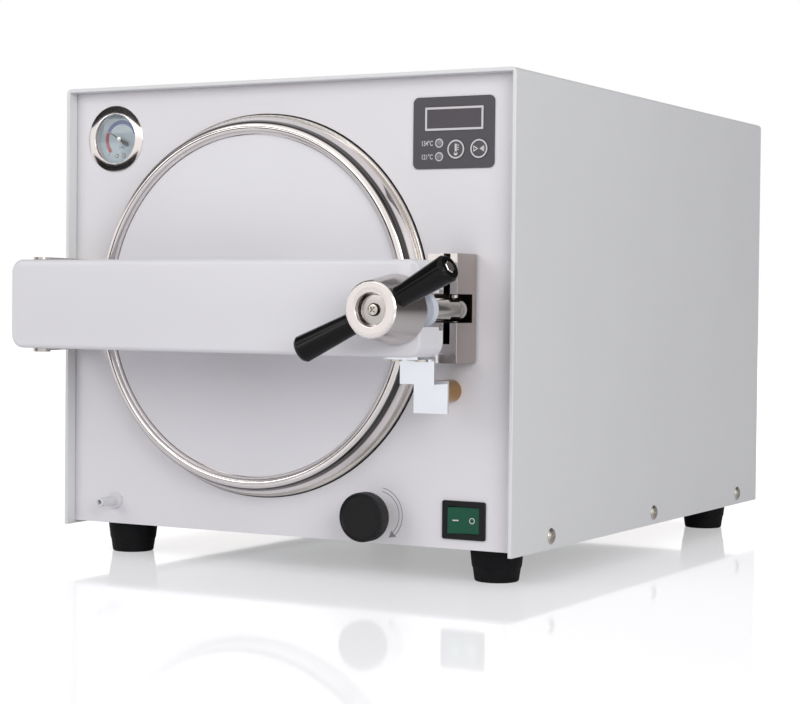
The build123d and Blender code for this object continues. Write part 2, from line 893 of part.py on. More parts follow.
def arm_top():
    """Upper side of the clamping arm."""
    return axis_z + arm_height / 2


def arm_pockets():
    """X ranges of the two pockets behind the arm's face."""
    left = (arm_left + arm_hinge_block, axis_x - arm_spindle_block / 2)
    right = (axis_x + arm_spindle_block / 2, arm_right - arm_fork_block)
    return [left, right]


def door_arm():
    """Cast clamping arm, open behind, with a hinge bore on the left and a fork on the right."""
    arm = box(arm_left, arm_right, arm_front, arm_rear, arm_bottom(), arm_top())
    arm = fillet(arm.edges().filter_by(Axis.Y), arm_corner_radius)
    arm = fillet(arm.faces().sort_by(Axis.Y)[0].edges(), arm_edge_radius)
    for x0, x1 in arm_pockets():
        arm -= box(x0, x1, arm_front + arm_wall, arm_rear,
                   arm_bottom() + arm_wall, arm_top() - arm_wall)
    arm -= rod_z(hinge_pin_radius + hinge_running_gap, arm_bottom(), arm_top(), hinge_x, hinge_y)
    slot_low = bolt_z - fork_half_height
    slot_high = bolt_z + fork_half_height
    arm -= box(bolt_x, arm_right + arm_wall, arm_front - arm_wall, arm_rear + arm_wall,
               slot_low, slot_high)
    arm -= rod_y(fork_half_height, arm_front - arm_wall, arm_rear + arm_wall, bolt_x, bolt_z)
    seat_front = arm_rear - fork_seat_depth
    arm -= box(bolt_x, arm_right + arm_wall, seat_front, arm_rear + arm_wall,
               bolt_z - fork_seat_half_height, bolt_z + fork_seat_half_height)
    arm -= rod_y(fork_seat_half_height, seat_front, arm_rear + arm_wall, bolt_x, bolt_z)
    reach = pivot_y - arm_front
    nose = box(bolt_x, arm_right + arm_wall, arm_front - arm_wall, arm_rear, arm_bottom(), arm_top())
    nose -= rod_z(reach, arm_bottom(), arm_top(), bolt_x, pivot_y)
    arm -= nose
    for x, y in plate_screw_places():
        arm -= rod_z(door_screw_radius + fit_gap / 10, arm_bottom(), arm_bottom() + arm_wall / 2, x, y)
    return arm


def arm_back_cover():
    """Two thin plates that close the pockets behind the arm."""
    plates = []
    for x0, x1 in arm_pockets():
        plates.append(box(x0 + sheet_gap, x1 - sheet_gap, arm_rear - arm_cover_thickness, arm_rear,
                          arm_bottom() + arm_wall + sheet_gap, arm_top() - arm_wall - sheet_gap))
    return solids_group(plates)


def plate_screw_places():
    """Places of the two screws that hold the stepped plate."""
    y = arm_rear - plate_screw_inset
    return [(plate_x - plate_screw_spacing / 2, y), (plate_x + plate_screw_spacing / 2, y)]


def stepped_plate():
    """Bent strip under the arm's free end: flange, drop, step back and drop."""
    x0 = plate_x - plate_width / 2
    x1 = plate_x + plate_width / 2
    z1 = arm_bottom()
    z2 = z1 - plate_thickness
    z3 = z1 - plate_upper_drop
    face = arm_rear + plate_overhang
    flange = box(x0, x1, arm_rear - plate_grip_length, face + plate_thickness, z2, z1)
    upper = box(x0, x1, face, face + plate_thickness, z3 - plate_thickness, z2)
    step = box(x0, x1, face, face + plate_step + plate_thickness, z3 - plate_thickness, z3)
    lower = box(x0, x1, face + plate_step, face + plate_step + plate_thickness,
                z3 - plate_lower_drop, z3)
    plate = flange + upper + step + lower
    for x, y in plate_screw_places():
        plate -= rod_z(door_screw_radius + fit_gap, z2, z1, x, y)
    return plate


def stepped_plate_back():
    """Y of the back of the stepped plate's lower part."""
    return arm_rear + plate_overhang + plate_step + plate_thickness


def hinge_bracket():
    """Welded bracket on the panel: a web and two ears that hold the arm's pin."""
    web_back = panel_front
    web_front = panel_front - hinge_web_thickness
    low = arm_bottom() - hinge_ear_gap - hinge_ear_thickness
    high = arm_top() + hinge_ear_gap + hinge_ear_thickness
    bracket = box(hinge_web_left, hinge_web_right, web_front, web_back, low, high)
    boss = Pos(hinge_x, hinge_y) * Circle(hinge_ear_radius)
    wing = make_face(Polyline((hinge_web_left, web_back), (hinge_web_right, web_back),
                              (hinge_web_right, web_back - hinge_web_reach),
                              (hinge_x + hinge_ear_radius, hinge_y),
                              (hinge_x - hinge_ear_radius, hinge_y),
                              (hinge_web_left, web_back - hinge_web_reach), close=True))
    ear = extrude(wing + boss, hinge_ear_thickness)
    bracket += Pos(0, 0, low) * ear
    bracket += Pos(0, 0, high - hinge_ear_thickness) * ear
    bracket -= rod_z(hinge_pin_radius, low, high, hinge_x, hinge_y)
    for z in hinge_bolt_heights():
        bracket -= rod_y(mounting_bolt_radius, web_front, web_back, hinge_bolt_x(), z)
    return bracket


def hinge_bolt_x():
    """X of the bolts through the hinge bracket's web."""
    return (hinge_web_left + hinge_web_right) / 2


def hinge_bolt_heights():
    """Z of the bolts through the hinge bracket's web."""
    return (axis_z - hinge_bolt_spacing / 2, axis_z + hinge_bolt_spacing / 2)


def hinge_pin():
    """Arm hinge pin, flush with the upper ear, with a flat head below the lower one."""
    low = arm_bottom() - hinge_ear_gap - hinge_ear_thickness
    high = arm_top() + hinge_ear_gap + hinge_ear_thickness
    pin = rod_z(hinge_pin_radius, low, high, hinge_x, hinge_y)
    pin = chamfer(pin.edges().group_by(Axis.Z)[-1], hinge_head_height / 4)
    head = rod_z(hinge_head_radius, low - hinge_head_height, low, hinge_x, hinge_y)
    head = fillet(head.edges().group_by(Axis.Z)[0], hinge_head_height / 3)
    return pin + head


def keeper_block():
    """Polished block on the panel, slotted for the bolt and grooved for its cross pin."""
    x0 = bolt_x - keeper_left_reach
    x1 = bolt_x + keeper_right_reach
    z0 = axis_z - keeper_height / 2
    z1 = axis_z + keeper_height / 2
    block = box(x0, x1, keeper_front, panel_front, z0, z1)
    rear_edge = block.edges().filter_by(Axis.Z).sort_by(Axis.X)[-2:].sort_by(Axis.Y)[-1]
    block = chamfer(rear_edge, keeper_rear_bevel)
    block -= box(bolt_x - bolt_eye_radius - keeper_slot_side_gap, x1, keeper_front,
                 keeper_front + keeper_slot_depth,
                 axis_z - keeper_slot_half_height, axis_z + keeper_slot_half_height)
    groove_reach = pivot_pin_radius + keeper_groove_gap
    block -= box(bolt_x - groove_reach, bolt_x + groove_reach, keeper_front,
                 pivot_y + groove_reach, z0 + keeper_groove_floor, z1)
    for z in keeper_bolt_heights():
        block -= rod_y(mounting_bolt_radius, panel_front - mounting_bolt_depth, panel_front,
                       keeper_bolt_x(), z)
    return block


def keeper_bolt_x():
    """X of the bolts that hold the keeper block."""
    return bolt_x - (keeper_left_reach - keeper_right_reach) / 2


def keeper_bolt_heights():
    """Z of the bolts that hold the keeper block."""
    return (axis_z - keeper_bolt_spacing / 2, axis_z + keeper_bolt_spacing / 2)


def mounting_bolt_places():
    """Holes in the panel for the keeper block's and the hinge bracket's bolts."""
    places = [(keeper_bolt_x(), z) for z in keeper_bolt_heights()]
    places += [(hinge_bolt_x(), z) for z in hinge_bolt_heights()]
    return places


def foot_screw():
    """Screw from a foot's recess up through the base plate, with its nut."""
    head_top = foot_recess_depth
    screw = rod_z(mounting_bolt_head_radius, head_top - mounting_bolt_head_height, head_top, 0, 0)
    slot = Rot(180, 0, 0) * cross_slot(1.2, cross_slot_depth)
    screw -= Pos(0, 0, head_top - mounting_bolt_head_height) * slot
    screw += rod_z(foot_screw_hole_radius, head_top, base_top + 2 * foot_screw_hole_radius, 0, 0)
    nut = extrude(RegularPolygon(2 * foot_screw_hole_radius, 6), foot_screw_hole_radius * 1.6)
    return screw + Pos(0, 0, base_top) * nut


def mounting_bolts():
    """Bolts of the keeper block, the hinge bracket and the feet."""
    bolts = []
    for x, z in mounting_bolt_places():
        deep = mounting_bolt_depth if x > axis_x else hinge_web_thickness
        head = Pos(x, panel_back, z) * Rot(-90, 0, 0) * extrude(
            RegularPolygon(mounting_bolt_head_radius, 6), mounting_bolt_head_height)
        bolts.append(rod_y(mounting_bolt_radius, panel_front - deep, panel_back, x, z) + head)
    bolts += [Pos(x, y, 0) * foot_screw() for x, y in foot_places()]
    return solids_group(bolts)


def swing_bolt():
    """Clamping bolt with a ball at its rear end, drilled upright for the pivot pin."""
    bolt = rod_y(bolt_radius, bolt_front, pivot_y, bolt_x, bolt_z)
    bolt += Pos(bolt_x, pivot_y, bolt_z) * Sphere(bolt_eye_radius)
    bolt -= rod_z(pivot_pin_radius, bolt_z - bolt_eye_radius, bolt_z + bolt_eye_radius,
                  bolt_x, pivot_y)
    bolt -= rod_y(retaining_screw_radius, bolt_front, bolt_front + retaining_screw_length,
                  bolt_x, bolt_z)
    return bolt


def pivot_pin():
    """Cross pin of the bolt, cut off inside the block's slot."""
    reach = keeper_slot_half_height - pivot_pin_end_gap
    return rod_z(pivot_pin_radius, axis_z - reach, axis_z + reach, bolt_x, pivot_y)


def nylon_washer():
    """Thick washer on the bolt that lies in the seat behind the arm's fork."""
    front = arm_rear - fork_seat_depth + nylon_washer_seat_gap
    washer = ring_y(nylon_washer_radius, bolt_radius, front, front + nylon_washer_thickness,
                    bolt_x, bolt_z)
    rims = washer.edges().filter_by(GeomType.CIRCLE).group_by(SortBy.RADIUS)[-1]
    return chamfer(rims.sort_by(Axis.Y)[-1], nylon_washer_chamfer)


def thrust_ring():
    """Steel ring in the hub's back that slides on the bolt without turning."""
    return ring_y(thrust_ring_radius, bolt_radius + thread_gap,
                  thrust_rear - thrust_ring_thickness, thrust_rear, bolt_x, bolt_z)


def handle_hub():
    """Polished conical nut with a recess in front and a seat and stud hole for each grip."""
    outline = Polyline((0, hub_front), (hub_front_radius - hub_rim_chamfer, hub_front),
                       (hub_front_radius, hub_front + hub_rim_chamfer),
                       (hub_rear_radius, hub_rear - hub_rim_chamfer),
                       (hub_rear_radius - hub_rim_chamfer, hub_rear), (0, hub_rear), close=True)
    hub = turned(outline, bolt_x, bolt_z)
    hub -= rod_y(hub_recess_radius, hub_front, hub_front + hub_recess_depth, bolt_x, bolt_z)
    hub -= rod_y(bolt_radius + thread_gap, hub_front, hub_rear, bolt_x, bolt_z)
    hub -= rod_y(thrust_ring_radius + thread_gap, thrust_rear - thrust_ring_thickness - thread_gap,
                 hub_rear, bolt_x, bolt_z)
    for angle in handle_angles():
        hole = rod_z(stud_radius, stud_inner_reach, hub_rear_radius, 0, 0)
        seat = rod_z(grip_narrow_radius + fit_gap, grip_start, hub_rear_radius + hub_front_radius, 0, 0)
        hub -= on_handle(angle) * (hole + seat)
    return hub


def handle_angles():
    """Directions of the two grips round the hub, from +X towards +Z."""
    return (handle_tilt, handle_tilt + 180)


def on_handle(angle):
    """Place whose Z axis runs outwards from the hub's axis at an angle, leaning forwards."""
    return Pos(bolt_x, stud_y, bolt_z) * Rot(0, 90 - angle, 0) * Rot(handle_lean, 0, 0)


def handle_studs():
    """Two steel studs screwed into the hub."""
    stud = rod_z(stud_radius, stud_inner_reach, grip_end - grip_recess_depth, 0, 0)
    return solids_group([on_handle(angle) * stud for angle in handle_angles()])


def handle_grips():
    """Two moulded grips, a little narrower at the hub, with a recess for the end nut."""
    shoulder = grip_end - grip_chamfer_length
    outline = Polyline((0, grip_start), (grip_narrow_radius, grip_start),
                       (grip_narrow_radius, grip_start + grip_neck_length),
                       (grip_wide_radius, shoulder), (grip_end_radius, grip_end), (0, grip_end),
                       close=True)
    grip = revolve(Plane.XZ * make_face(outline), Axis.Z)
    grip -= rod_z(stud_radius, grip_start, grip_end, 0, 0)
    grip -= rod_z(grip_recess_radius, grip_end - grip_recess_depth, grip_end, 0, 0)
    return solids_group([on_handle(angle) * grip for angle in handle_angles()])


def grip_nuts():
    """Chromed cap nuts on the studs' ends, sunk in the grips."""
    seat = Pos(0, 0, grip_end - grip_recess_depth)
    nut = seat * extrude(RegularPolygon(grip_nut_radius, 6), grip_nut_height)
    nut = chamfer(nut.edges().group_by(Axis.Z)[-1], grip_nut_height / 4)
    return solids_group([on_handle(angle) * nut for angle in handle_angles()])


def retaining_washer():
    """Washer on the bolt's front end that keeps the hub on."""
    return ring_y(retaining_washer_radius, retaining_screw_radius, washer_front, bolt_front,
                  bolt_x, bolt_z)


def retaining_screw():
    """Cross-head screw through the retaining washer."""
    head_front = washer_front - retaining_screw_head_height
    head = rod_y(retaining_screw_head_radius, head_front, washer_front, bolt_x, bolt_z)
    head = fillet(head.edges().group_by(Axis.Y)[0], retaining_screw_head_height * 2 / 3)
    shank = rod_y(retaining_screw_radius, washer_front, bolt_front + retaining_screw_length, bolt_x, bolt_z)
    slot = Pos(bolt_x, head_front, bolt_z) * Rot(90, 0, 0) * Rot(0, 0, 45)
    slot = slot * cross_slot(1.0, cross_slot_depth)
    return head + shank - slot


def sensor_body():
    """Brass guide of the door sensor, nutted to the panel."""
    front = panel_front - sensor_body_reach
    rear = panel_front + sensor_rear_length
    body = rod_y(sensor_body_radius, front, panel_front, sensor_x, sensor_z)
    body = chamfer(body.edges().group_by(Axis.Y)[0], sensor_rim_chamfer)
    body += rod_y(sensor_thread_radius, panel_front, rear, sensor_x, sensor_z)
    nut = extrude(RegularPolygon(sensor_nut_radius, 6), sensor_nut_thickness)
    body += Pos(sensor_x, panel_back, sensor_z) * Rot(-90, 0, 0) * nut
    body -= rod_y(plunger_radius + plunger_running_gap, front, rear, sensor_x, sensor_z)
    collar_radius = plunger_collar_radius + plunger_running_gap
    body -= rod_y(collar_radius, front + sensor_collar_depth, rear, sensor_x, sensor_z)
    return body


def sensor_plunger():
    """Plunger that the stepped plate presses in when the door is shut."""
    rear = panel_front + sensor_rear_length - plunger_travel
    collar_front = panel_front - sensor_body_reach + sensor_collar_depth + fit_gap
    plunger = rod_y(plunger_radius, stepped_plate_back() + plunger_gap, rear, sensor_x, sensor_z)
    plunger += rod_y(plunger_collar_radius, collar_front, collar_front + plunger_travel, sensor_x, sensor_z)
    return fillet(plunger.edges().group_by(Axis.Y)[0], plunger_radius / 3)


def gauge_front():
    """Y of the gauge bezel's front."""
    return panel_front - gauge_bezel_height


def gauge_dial_front():
    """Y of the dial's printed face."""
    return gauge_front() + gauge_dial_depth


def gauge_case():
    """Drawn steel cup behind the panel with a pressure stub at its back."""
    y1 = panel_front + gauge_case_depth
    case = rod_y(gauge_case_radius, panel_front, y1, gauge_x, gauge_z)
    case -= rod_y(gauge_case_radius - gauge_case_wall, panel_front, y1 - gauge_case_wall,
                  gauge_x, gauge_z)
    case += rod_y(gauge_stub_radius, y1, y1 + gauge_stub_length, gauge_x, gauge_z)
    case -= rod_y(tube_radius, y1 + gauge_stub_length / 2, y1 + gauge_stub_length, gauge_x, gauge_z)
    return case


def gauge_bezel():
    """Chromed ring, flat on the panel, with a deep throat down to the dial."""
    throat = gauge_bezel_inner_radius + gauge_throat_wall
    rear = gauge_dial_front() - fit_gap
    outline = Polyline((gauge_bezel_inner_radius, gauge_front()),
                       (gauge_bezel_radius, gauge_front() + gauge_bezel_fall),
                       (gauge_bezel_radius, panel_front), (throat, panel_front), (throat, rear),
                       (gauge_bezel_inner_radius, rear), close=True)
    bezel = turned(outline, gauge_x, gauge_z)
    lens_front = gauge_front() + gauge_lens_inset
    bezel -= rod_y(gauge_bezel_inner_radius + sheet / 2, lens_front, lens_front + gauge_lens_thickness,
                   gauge_x, gauge_z)
    return bezel


def gauge_dial():
    """Round dial plate in the case's mouth."""
    y0 = gauge_dial_front()
    radius = gauge_case_radius - gauge_case_wall
    return ring_y(radius, gauge_pin_radius, y0, y0 + gauge_dial_thickness, gauge_x, gauge_z)


def gauge_lens():
    """Clear disc snapped into the bezel's groove."""
    y0 = gauge_front() + gauge_lens_inset
    return rod_y(gauge_bezel_inner_radius + sheet / 2, y0, y0 + gauge_lens_thickness, gauge_x, gauge_z)


def gauge_needle():
    """Tapered pointer with a counterweight, on its arbor through the dial."""
    face = gauge_dial_front()
    back = face - gauge_needle_clear
    front = back - gauge_needle_thickness
    half = gauge_needle_width / 2
    outline = Polyline((-gauge_needle_tail, -half * 2), (0, -half), (gauge_needle_length, 0),
                       (0, half), (-gauge_needle_tail, half * 2), close=True)
    pointer = extrude(make_face(outline), gauge_needle_thickness)
    pointer = Rot(90, 0, 0) * pointer
    hub = rod_y(gauge_hub_radius, -gauge_needle_thickness * 1.6, 0, 0, 0)
    arbor = rod_y(gauge_pin_radius - fit_gap / 2, 0, gauge_needle_clear + gauge_dial_thickness * 3, 0, 0)
    needle = pointer + hub + arbor
    place = Pos(gauge_x, front + gauge_needle_thickness, gauge_z)
    return place * Rot(0, -gauge_needle_rest_angle, 0) * needle


def film_centre():
    """X and Z of the control film's centre."""
    return film_left + film_width / 2, film_bottom + film_height / 2


def control_film():
    """Printed front film with cut-outs for the window, lamps and buttons."""
    x, z = film_centre()
    y0 = panel_front - film_thickness
    film = plate_xz(film_width, film_height, film_corner_radius, y0, panel_front, x, z)
    film -= box(film_x(window_dx) - window_width / 2, film_x(window_dx) + window_width / 2,
                y0, panel_front, film_z(window_dz) - window_height / 2,
                film_z(window_dz) + window_height / 2)
    for index in range(2):
        film -= rod_y(lamp_radius, y0, panel_front, film_x(lamp_dx),
                      film_z(lamp_upper_dz) - index * lamp_spacing)
    for dx in (temperature_button_dx, start_button_dx):
        film -= rod_y(button_radius + button_gap, y0, panel_front, film_x(dx), film_z(button_dz))
    return film


def display_window():
    """Tinted window of the display."""
    y0 = panel_front - film_thickness - window_proud
    x = film_x(window_dx)
    z = film_z(window_dz)
    frame = box(x - window_width / 2, x + window_width / 2, y0, panel_front,
                z - window_height / 2, z + window_height / 2)
    frame = chamfer(frame.faces().sort_by(Axis.Y)[0].edges(), window_proud * 0.6)
    inner = box(x - window_width / 2 + sheet, x + window_width / 2 - sheet, panel_front, panel_back,
                z - window_height / 2 + sheet, z + window_height / 2 - sheet)
    return frame + inner


def led_lamps():
    """Two domed indicator lamps with their bodies back to the board."""
    y0 = panel_front - film_thickness - lamp_proud
    lamps = []
    for index in range(2):
        z = film_z(lamp_upper_dz) - index * lamp_spacing
        lamp = rod_y(lamp_radius, y0, board_front(), film_x(lamp_dx), z)
        lamps.append(fillet(lamp.edges().group_by(Axis.Y)[0], lamp_proud))
    return solids_group(lamps)


def panel_button(dx):
    """One push button: cap through the film, flange behind it and a stem to the board."""
    y0 = panel_front - film_thickness - button_proud
    x = film_x(dx)
    z = film_z(button_dz)
    cap = rod_y(button_radius, y0, panel_front + fit_gap, x, z)
    cap = fillet(cap.edges().group_by(Axis.Y)[0], button_proud / 2)
    flange = rod_y(button_flange_radius, panel_front + fit_gap,
                   panel_front + fit_gap + button_flange_thickness, x, z)
    stem = rod_y(board_post_radius, panel_front + fit_gap + button_flange_thickness,
                 board_front() - module_depth / 2 - button_travel - fit_gap, x, z)
    return cap + flange + stem


def board_front():
    """Y of the control board's front face."""
    return panel_back + board_stand_off


def control_board():
    """Circuit board on four posts, with the display module and a switch behind each button."""
    x, z = film_centre()
    half_w = film_width / 2 + board_margin
    half_h = film_height / 2 + board_margin
    y0 = board_front()
    board = box(x - half_w, x + half_w, y0, y0 + board_thickness, z - half_h, z + half_h)
    for sx in (-1, 1):
        for sz in (-1, 1):
            board += rod_y(board_post_radius, panel_back, y0, x + sx * (half_w - board_margin),
                           z + sz * (half_h - board_margin))
    wx = film_x(window_dx)
    wz = film_z(window_dz)
    board += box(wx - window_width / 2 + board_margin, wx + window_width / 2 - board_margin,
                 y0 - module_depth, y0, wz - window_height / 2 + sheet, wz + window_height / 2 - sheet)
    for dx in (temperature_button_dx, start_button_dx):
        board += rod_y(board_post_radius * 1.2, y0 - module_depth / 2, y0, film_x(dx), film_z(button_dz))
    return board


def switch_centre():
    """X and Z of the mains switch."""
    return switch_x, bottom + switch_rise


def switch_housing():
    """Snap-in switch body with a raised frame and bearings for the rocker's pins."""
    x, z = switch_centre()
    y0 = panel_front - switch_bezel_thickness
    frame = plate_xz(switch_bezel_width, switch_bezel_height, sheet, y0, panel_front, x, z)
    frame = chamfer(frame.faces().sort_by(Axis.Y)[0].edges(), sheet / 3)
    body = box(x - switch_body_width / 2, x + switch_body_width / 2, panel_front,
               panel_front + switch_body_depth, z - switch_body_height / 2, z + switch_body_height / 2)
    housing = frame + body
    housing -= box(x - switch_opening_width / 2, x + switch_opening_width / 2, y0,
                   y0 + switch_opening_depth, z - switch_opening_height / 2, z + switch_opening_height / 2)
    reach = rocker_height / 2 + rocker_pin_length + rocker_pin_gap
    housing -= rod_z(rocker_pin_radius + rocker_pin_gap, z - reach, z + reach, x, rocker_axis_y())
    return housing


def rocker_axis_y():
    """Y of the rocker's pins."""
    return panel_front - switch_bezel_thickness + rocker_axis_depth


def switch_rocker():
    """Rocker with a shallow valley, stored with its right half pressed in."""
    x, z = switch_centre()
    half = rocker_length / 2
    front = -rocker_axis_depth - rocker_valley / 2
    outline = Polyline((-half, front), (0, front + rocker_valley), (half, front),
                       (half * 0.72, front + rocker_depth + rocker_valley),
                       (-half * 0.72, front + rocker_depth + rocker_valley), close=True)
    rocker = extrude(make_face(outline), rocker_height)
    rocker = Pos(0, 0, -rocker_height / 2) * rocker
    reach = rocker_height / 2 + rocker_pin_length
    rocker += rod_z(rocker_pin_radius, -reach, reach, 0, 0)
    return Pos(x, rocker_axis_y(), z) * Rot(0, 0, rocker_throw / 2) * rocker


def valve_body():
    """Brass needle valve behind the panel with its lock nut and tube socket."""
    x = valve_x
    z = bottom + valve_rise
    half = valve_body_size / 2
    y1 = panel_back + valve_body_length
    body = box(x - half, x + half, panel_back, y1, z - half + sheet, z + half)
    body += rod_y(valve_nut_radius, panel_front - valve_nut_thickness, panel_front, x, z)
    body += rod_y(valve_stem_radius + sheet - fit_gap, panel_front, panel_back, x, z)
    body -= rod_y(valve_stem_radius + valve_stem_gap, panel_front - valve_nut_thickness,
                  panel_back + valve_stem_depth + fit_gap, x, z)
    body -= rod_y(tube_radius, y1 - valve_body_length / 4, y1, x, z)
    return body


def valve_stem():
    """Stem of the needle valve."""
    x = valve_x
    z = bottom + valve_rise
    knob_rear = knob_front + knob_thickness
    return rod_y(valve_stem_radius, knob_rear - knob_bore_depth, panel_back + valve_stem_depth, x, z)


def valve_knob():
    """Round hand knob with a dished face."""
    x = valve_x
    z = bottom + valve_rise
    knob_rear = knob_front + knob_thickness
    knob = rod_y(knob_radius, knob_front, knob_rear, x, z)
    knob = fillet(knob.edges().filter_by(GeomType.CIRCLE), knob_edge_radius)
    flutes = []
    for index in range(knob_flute_count):
        angle = 2 * pi * index / knob_flute_count
        reach = knob_radius + knob_flute_radius / 2
        flutes.append(rod_y(knob_flute_radius, knob_front, knob_rear,
                            x + reach * cos(angle), z + reach * sin(angle)))
    knob -= flutes
    knob -= rod_y(knob_face_radius, knob_front, knob_front + knob_dish_depth, x, z)
    knob -= rod_y(valve_stem_radius, knob_rear - knob_bore_depth, knob_rear, x, z)
    return knob


def drain_nozzle():
    """Hose nozzle through the panel with a round base."""
    x = nozzle_x
    z = bottom + nozzle_rise
    y0 = panel_front - nozzle_length
    nozzle = rod_y(nozzle_radius, y0, panel_front, x, z)
    nozzle += rod_y(nozzle_base_radius, panel_front - nozzle_base_thickness, panel_front, x, z)
    nozzle += rod_y(nozzle_thread_radius, panel_front, panel_front + nozzle_rear_length, x, z)
    nozzle = chamfer(nozzle.edges().group_by(Axis.Y)[0], nozzle_radius / 6)
    nozzle -= rod_y(nozzle_bore_radius, y0, panel_front + nozzle_rear_length, x, z)
    nozzle -= rod_y(tube_radius, panel_front + nozzle_rear_length / 2,
                    panel_front + nozzle_rear_length, x, z)
    return nozzle


def tube_along(points):
    """A copper tube through corner points with round bends."""
    path = FilletPolyline(*points, radius=tube_bend_radius)
    start = Plane(origin=path @ 0, z_dir=path % 0)
    section = start * (Circle(tube_radius) - Circle(tube_bore_radius))
    return sweep(section, path=path)


def copper_tubes():
    """Tubes from the gauge, the drain nozzle and the valve to the chamber's end ports."""
    turn_y = chamber_end + port_length + tube_turn_clear
    port_y = chamber_end + port_length
    gauge_y = panel_front + gauge_case_depth + gauge_stub_length / 2
    nozzle_y = panel_front + nozzle_rear_length / 2
    valve_y = panel_back + valve_body_length * 3 / 4
    starts = [(gauge_x, gauge_y, gauge_z),
              (nozzle_x, nozzle_y, bottom + nozzle_rise),
              (valve_x, valve_y, bottom + valve_rise)]
    tubes = []
    for start, port in zip(starts, port_places()):
        x, y, z = start
        port_x, port_z = port
        corners = [(x, y, z), (x, turn_y, z), (port_x, turn_y, port_z), (port_x, port_y, port_z)]
        tubes.append(tube_along(corners))
    return solids_group(tubes)


def safety_rear():
    """Y of the safety valve's rear end."""
    return rear_back + safety_stand_out


def safety_valve():
    """Spring-loaded safety valve on a pipe from the chamber, with a lifting spindle."""
    x, z = port_place(safety_port_dx, safety_port_dz)
    y0 = chamber_end + port_length
    y1 = safety_rear()
    hex_front = rear_back + fit_gap
    valve = rod_y(safety_pipe_radius, y0, hex_front, x, z)
    hexagon = Pos(x, hex_front, z) * Rot(-90, 0, 0) * extrude(
        RegularPolygon(safety_hex_radius, 6), safety_hex_length)
    valve += hexagon
    valve += rod_y(safety_bonnet_radius, hex_front + safety_hex_length, y1 - 2 * safety_eye_radius - 2, x, z)
    lug = box(x - safety_eye_radius * 1.5, x + safety_eye_radius * 1.5, y1 - 3 * safety_eye_radius - 2,
              y1 + 2 * safety_eye_radius, z - safety_eye_radius * 2.5, z + safety_eye_radius * 2.5)
    valve += lug
    valve -= rod_x(safety_eye_radius, x - safety_bonnet_radius, x + safety_bonnet_radius, y1, z)
    return valve


def safety_ring():
    """Pull ring through the safety valve's eye, hanging down."""
    x, z = port_place(safety_port_dx, safety_port_dz)
    circle = Rot(90, 0, 0) * Torus(ring_radius, ring_wire_radius)
    return Pos(x, safety_rear(), z - ring_radius) * circle


def power_inlet():
    """Appliance inlet with a recessed cavity and three contact blades."""
    x = inlet_x
    z = bottom + inlet_rise
    flange = plate_xz(inlet_flange_width, inlet_flange_height, 4 * sheet, rear_back,
                      rear_back + inlet_flange_thickness, x, z)
    y_rear = rear_back + inlet_flange_thickness
    body = box(x - inlet_width / 2, x + inlet_width / 2, rear_back - inlet_depth, rear_back,
               z - inlet_height / 2, z + inlet_height / 2)
    inlet = flange + body
    inlet -= box(x - inlet_cavity_width / 2, x + inlet_cavity_width / 2,
                 y_rear - inlet_cavity_depth, y_rear, z - inlet_cavity_height / 2,
                 z + inlet_cavity_height / 2)
    for index in (-1, 0, 1):
        bx = x + index * inlet_blade_pitch
        bz = z + (inlet_blade_rise if index == 0 else -inlet_blade_rise)
        inlet += box(bx - inlet_blade_width / 2, bx + inlet_blade_width / 2,
                     y_rear - inlet_cavity_depth, y_rear - inlet_cavity_depth / 4,
                     bz - inlet_blade_height / 2, bz + inlet_blade_height / 2)
    for side in (-1, 1):
        hole_x = x + side * (inlet_flange_width + inlet_width) / 4
        inlet -= rod_y(inlet_screw_radius, rear_back, y_rear, hole_x, z)
    return inlet


def fuse_holder():
    """Panel fuse holder with a screwed cap."""
    x = fuse_x
    z = bottom + inlet_rise
    y1 = rear_back + fuse_flange_height
    holder = rod_y(fuse_radius, rear_back - fuse_depth, rear_back, x, z)
    holder += rod_y(fuse_flange_radius, rear_back, y1, x, z)
    cap = rod_y(fuse_cap_radius, y1, y1 + fuse_cap_height, x, z)
    cap -= box(x - fuse_cap_radius, x + fuse_cap_radius, y1 + fuse_cap_height - cross_slot_depth,
               y1 + fuse_cap_height, z - cross_slot_width / 2, z + cross_slot_width / 2)
    return holder + cap


def transformer():
    """Laminated core with its winding, standing on the base plate."""
    x = transformer_x
    y = transformer_y
    core = box(x - transformer_width / 2, x + transformer_width / 2, y - transformer_length / 2,
               y + transformer_length / 2, base_top, base_top + transformer_height)
    middle = base_top + transformer_height / 2
    coil = box(x - transformer_coil_width / 2, x + transformer_coil_width / 2,
               y - transformer_coil_length / 2, y + transformer_coil_length / 2,
               middle - transformer_coil_height / 2, middle + transformer_coil_height / 2)
    coil = fillet(coil.edges().filter_by(Axis.Y), 3 * sheet)
    return core + coil


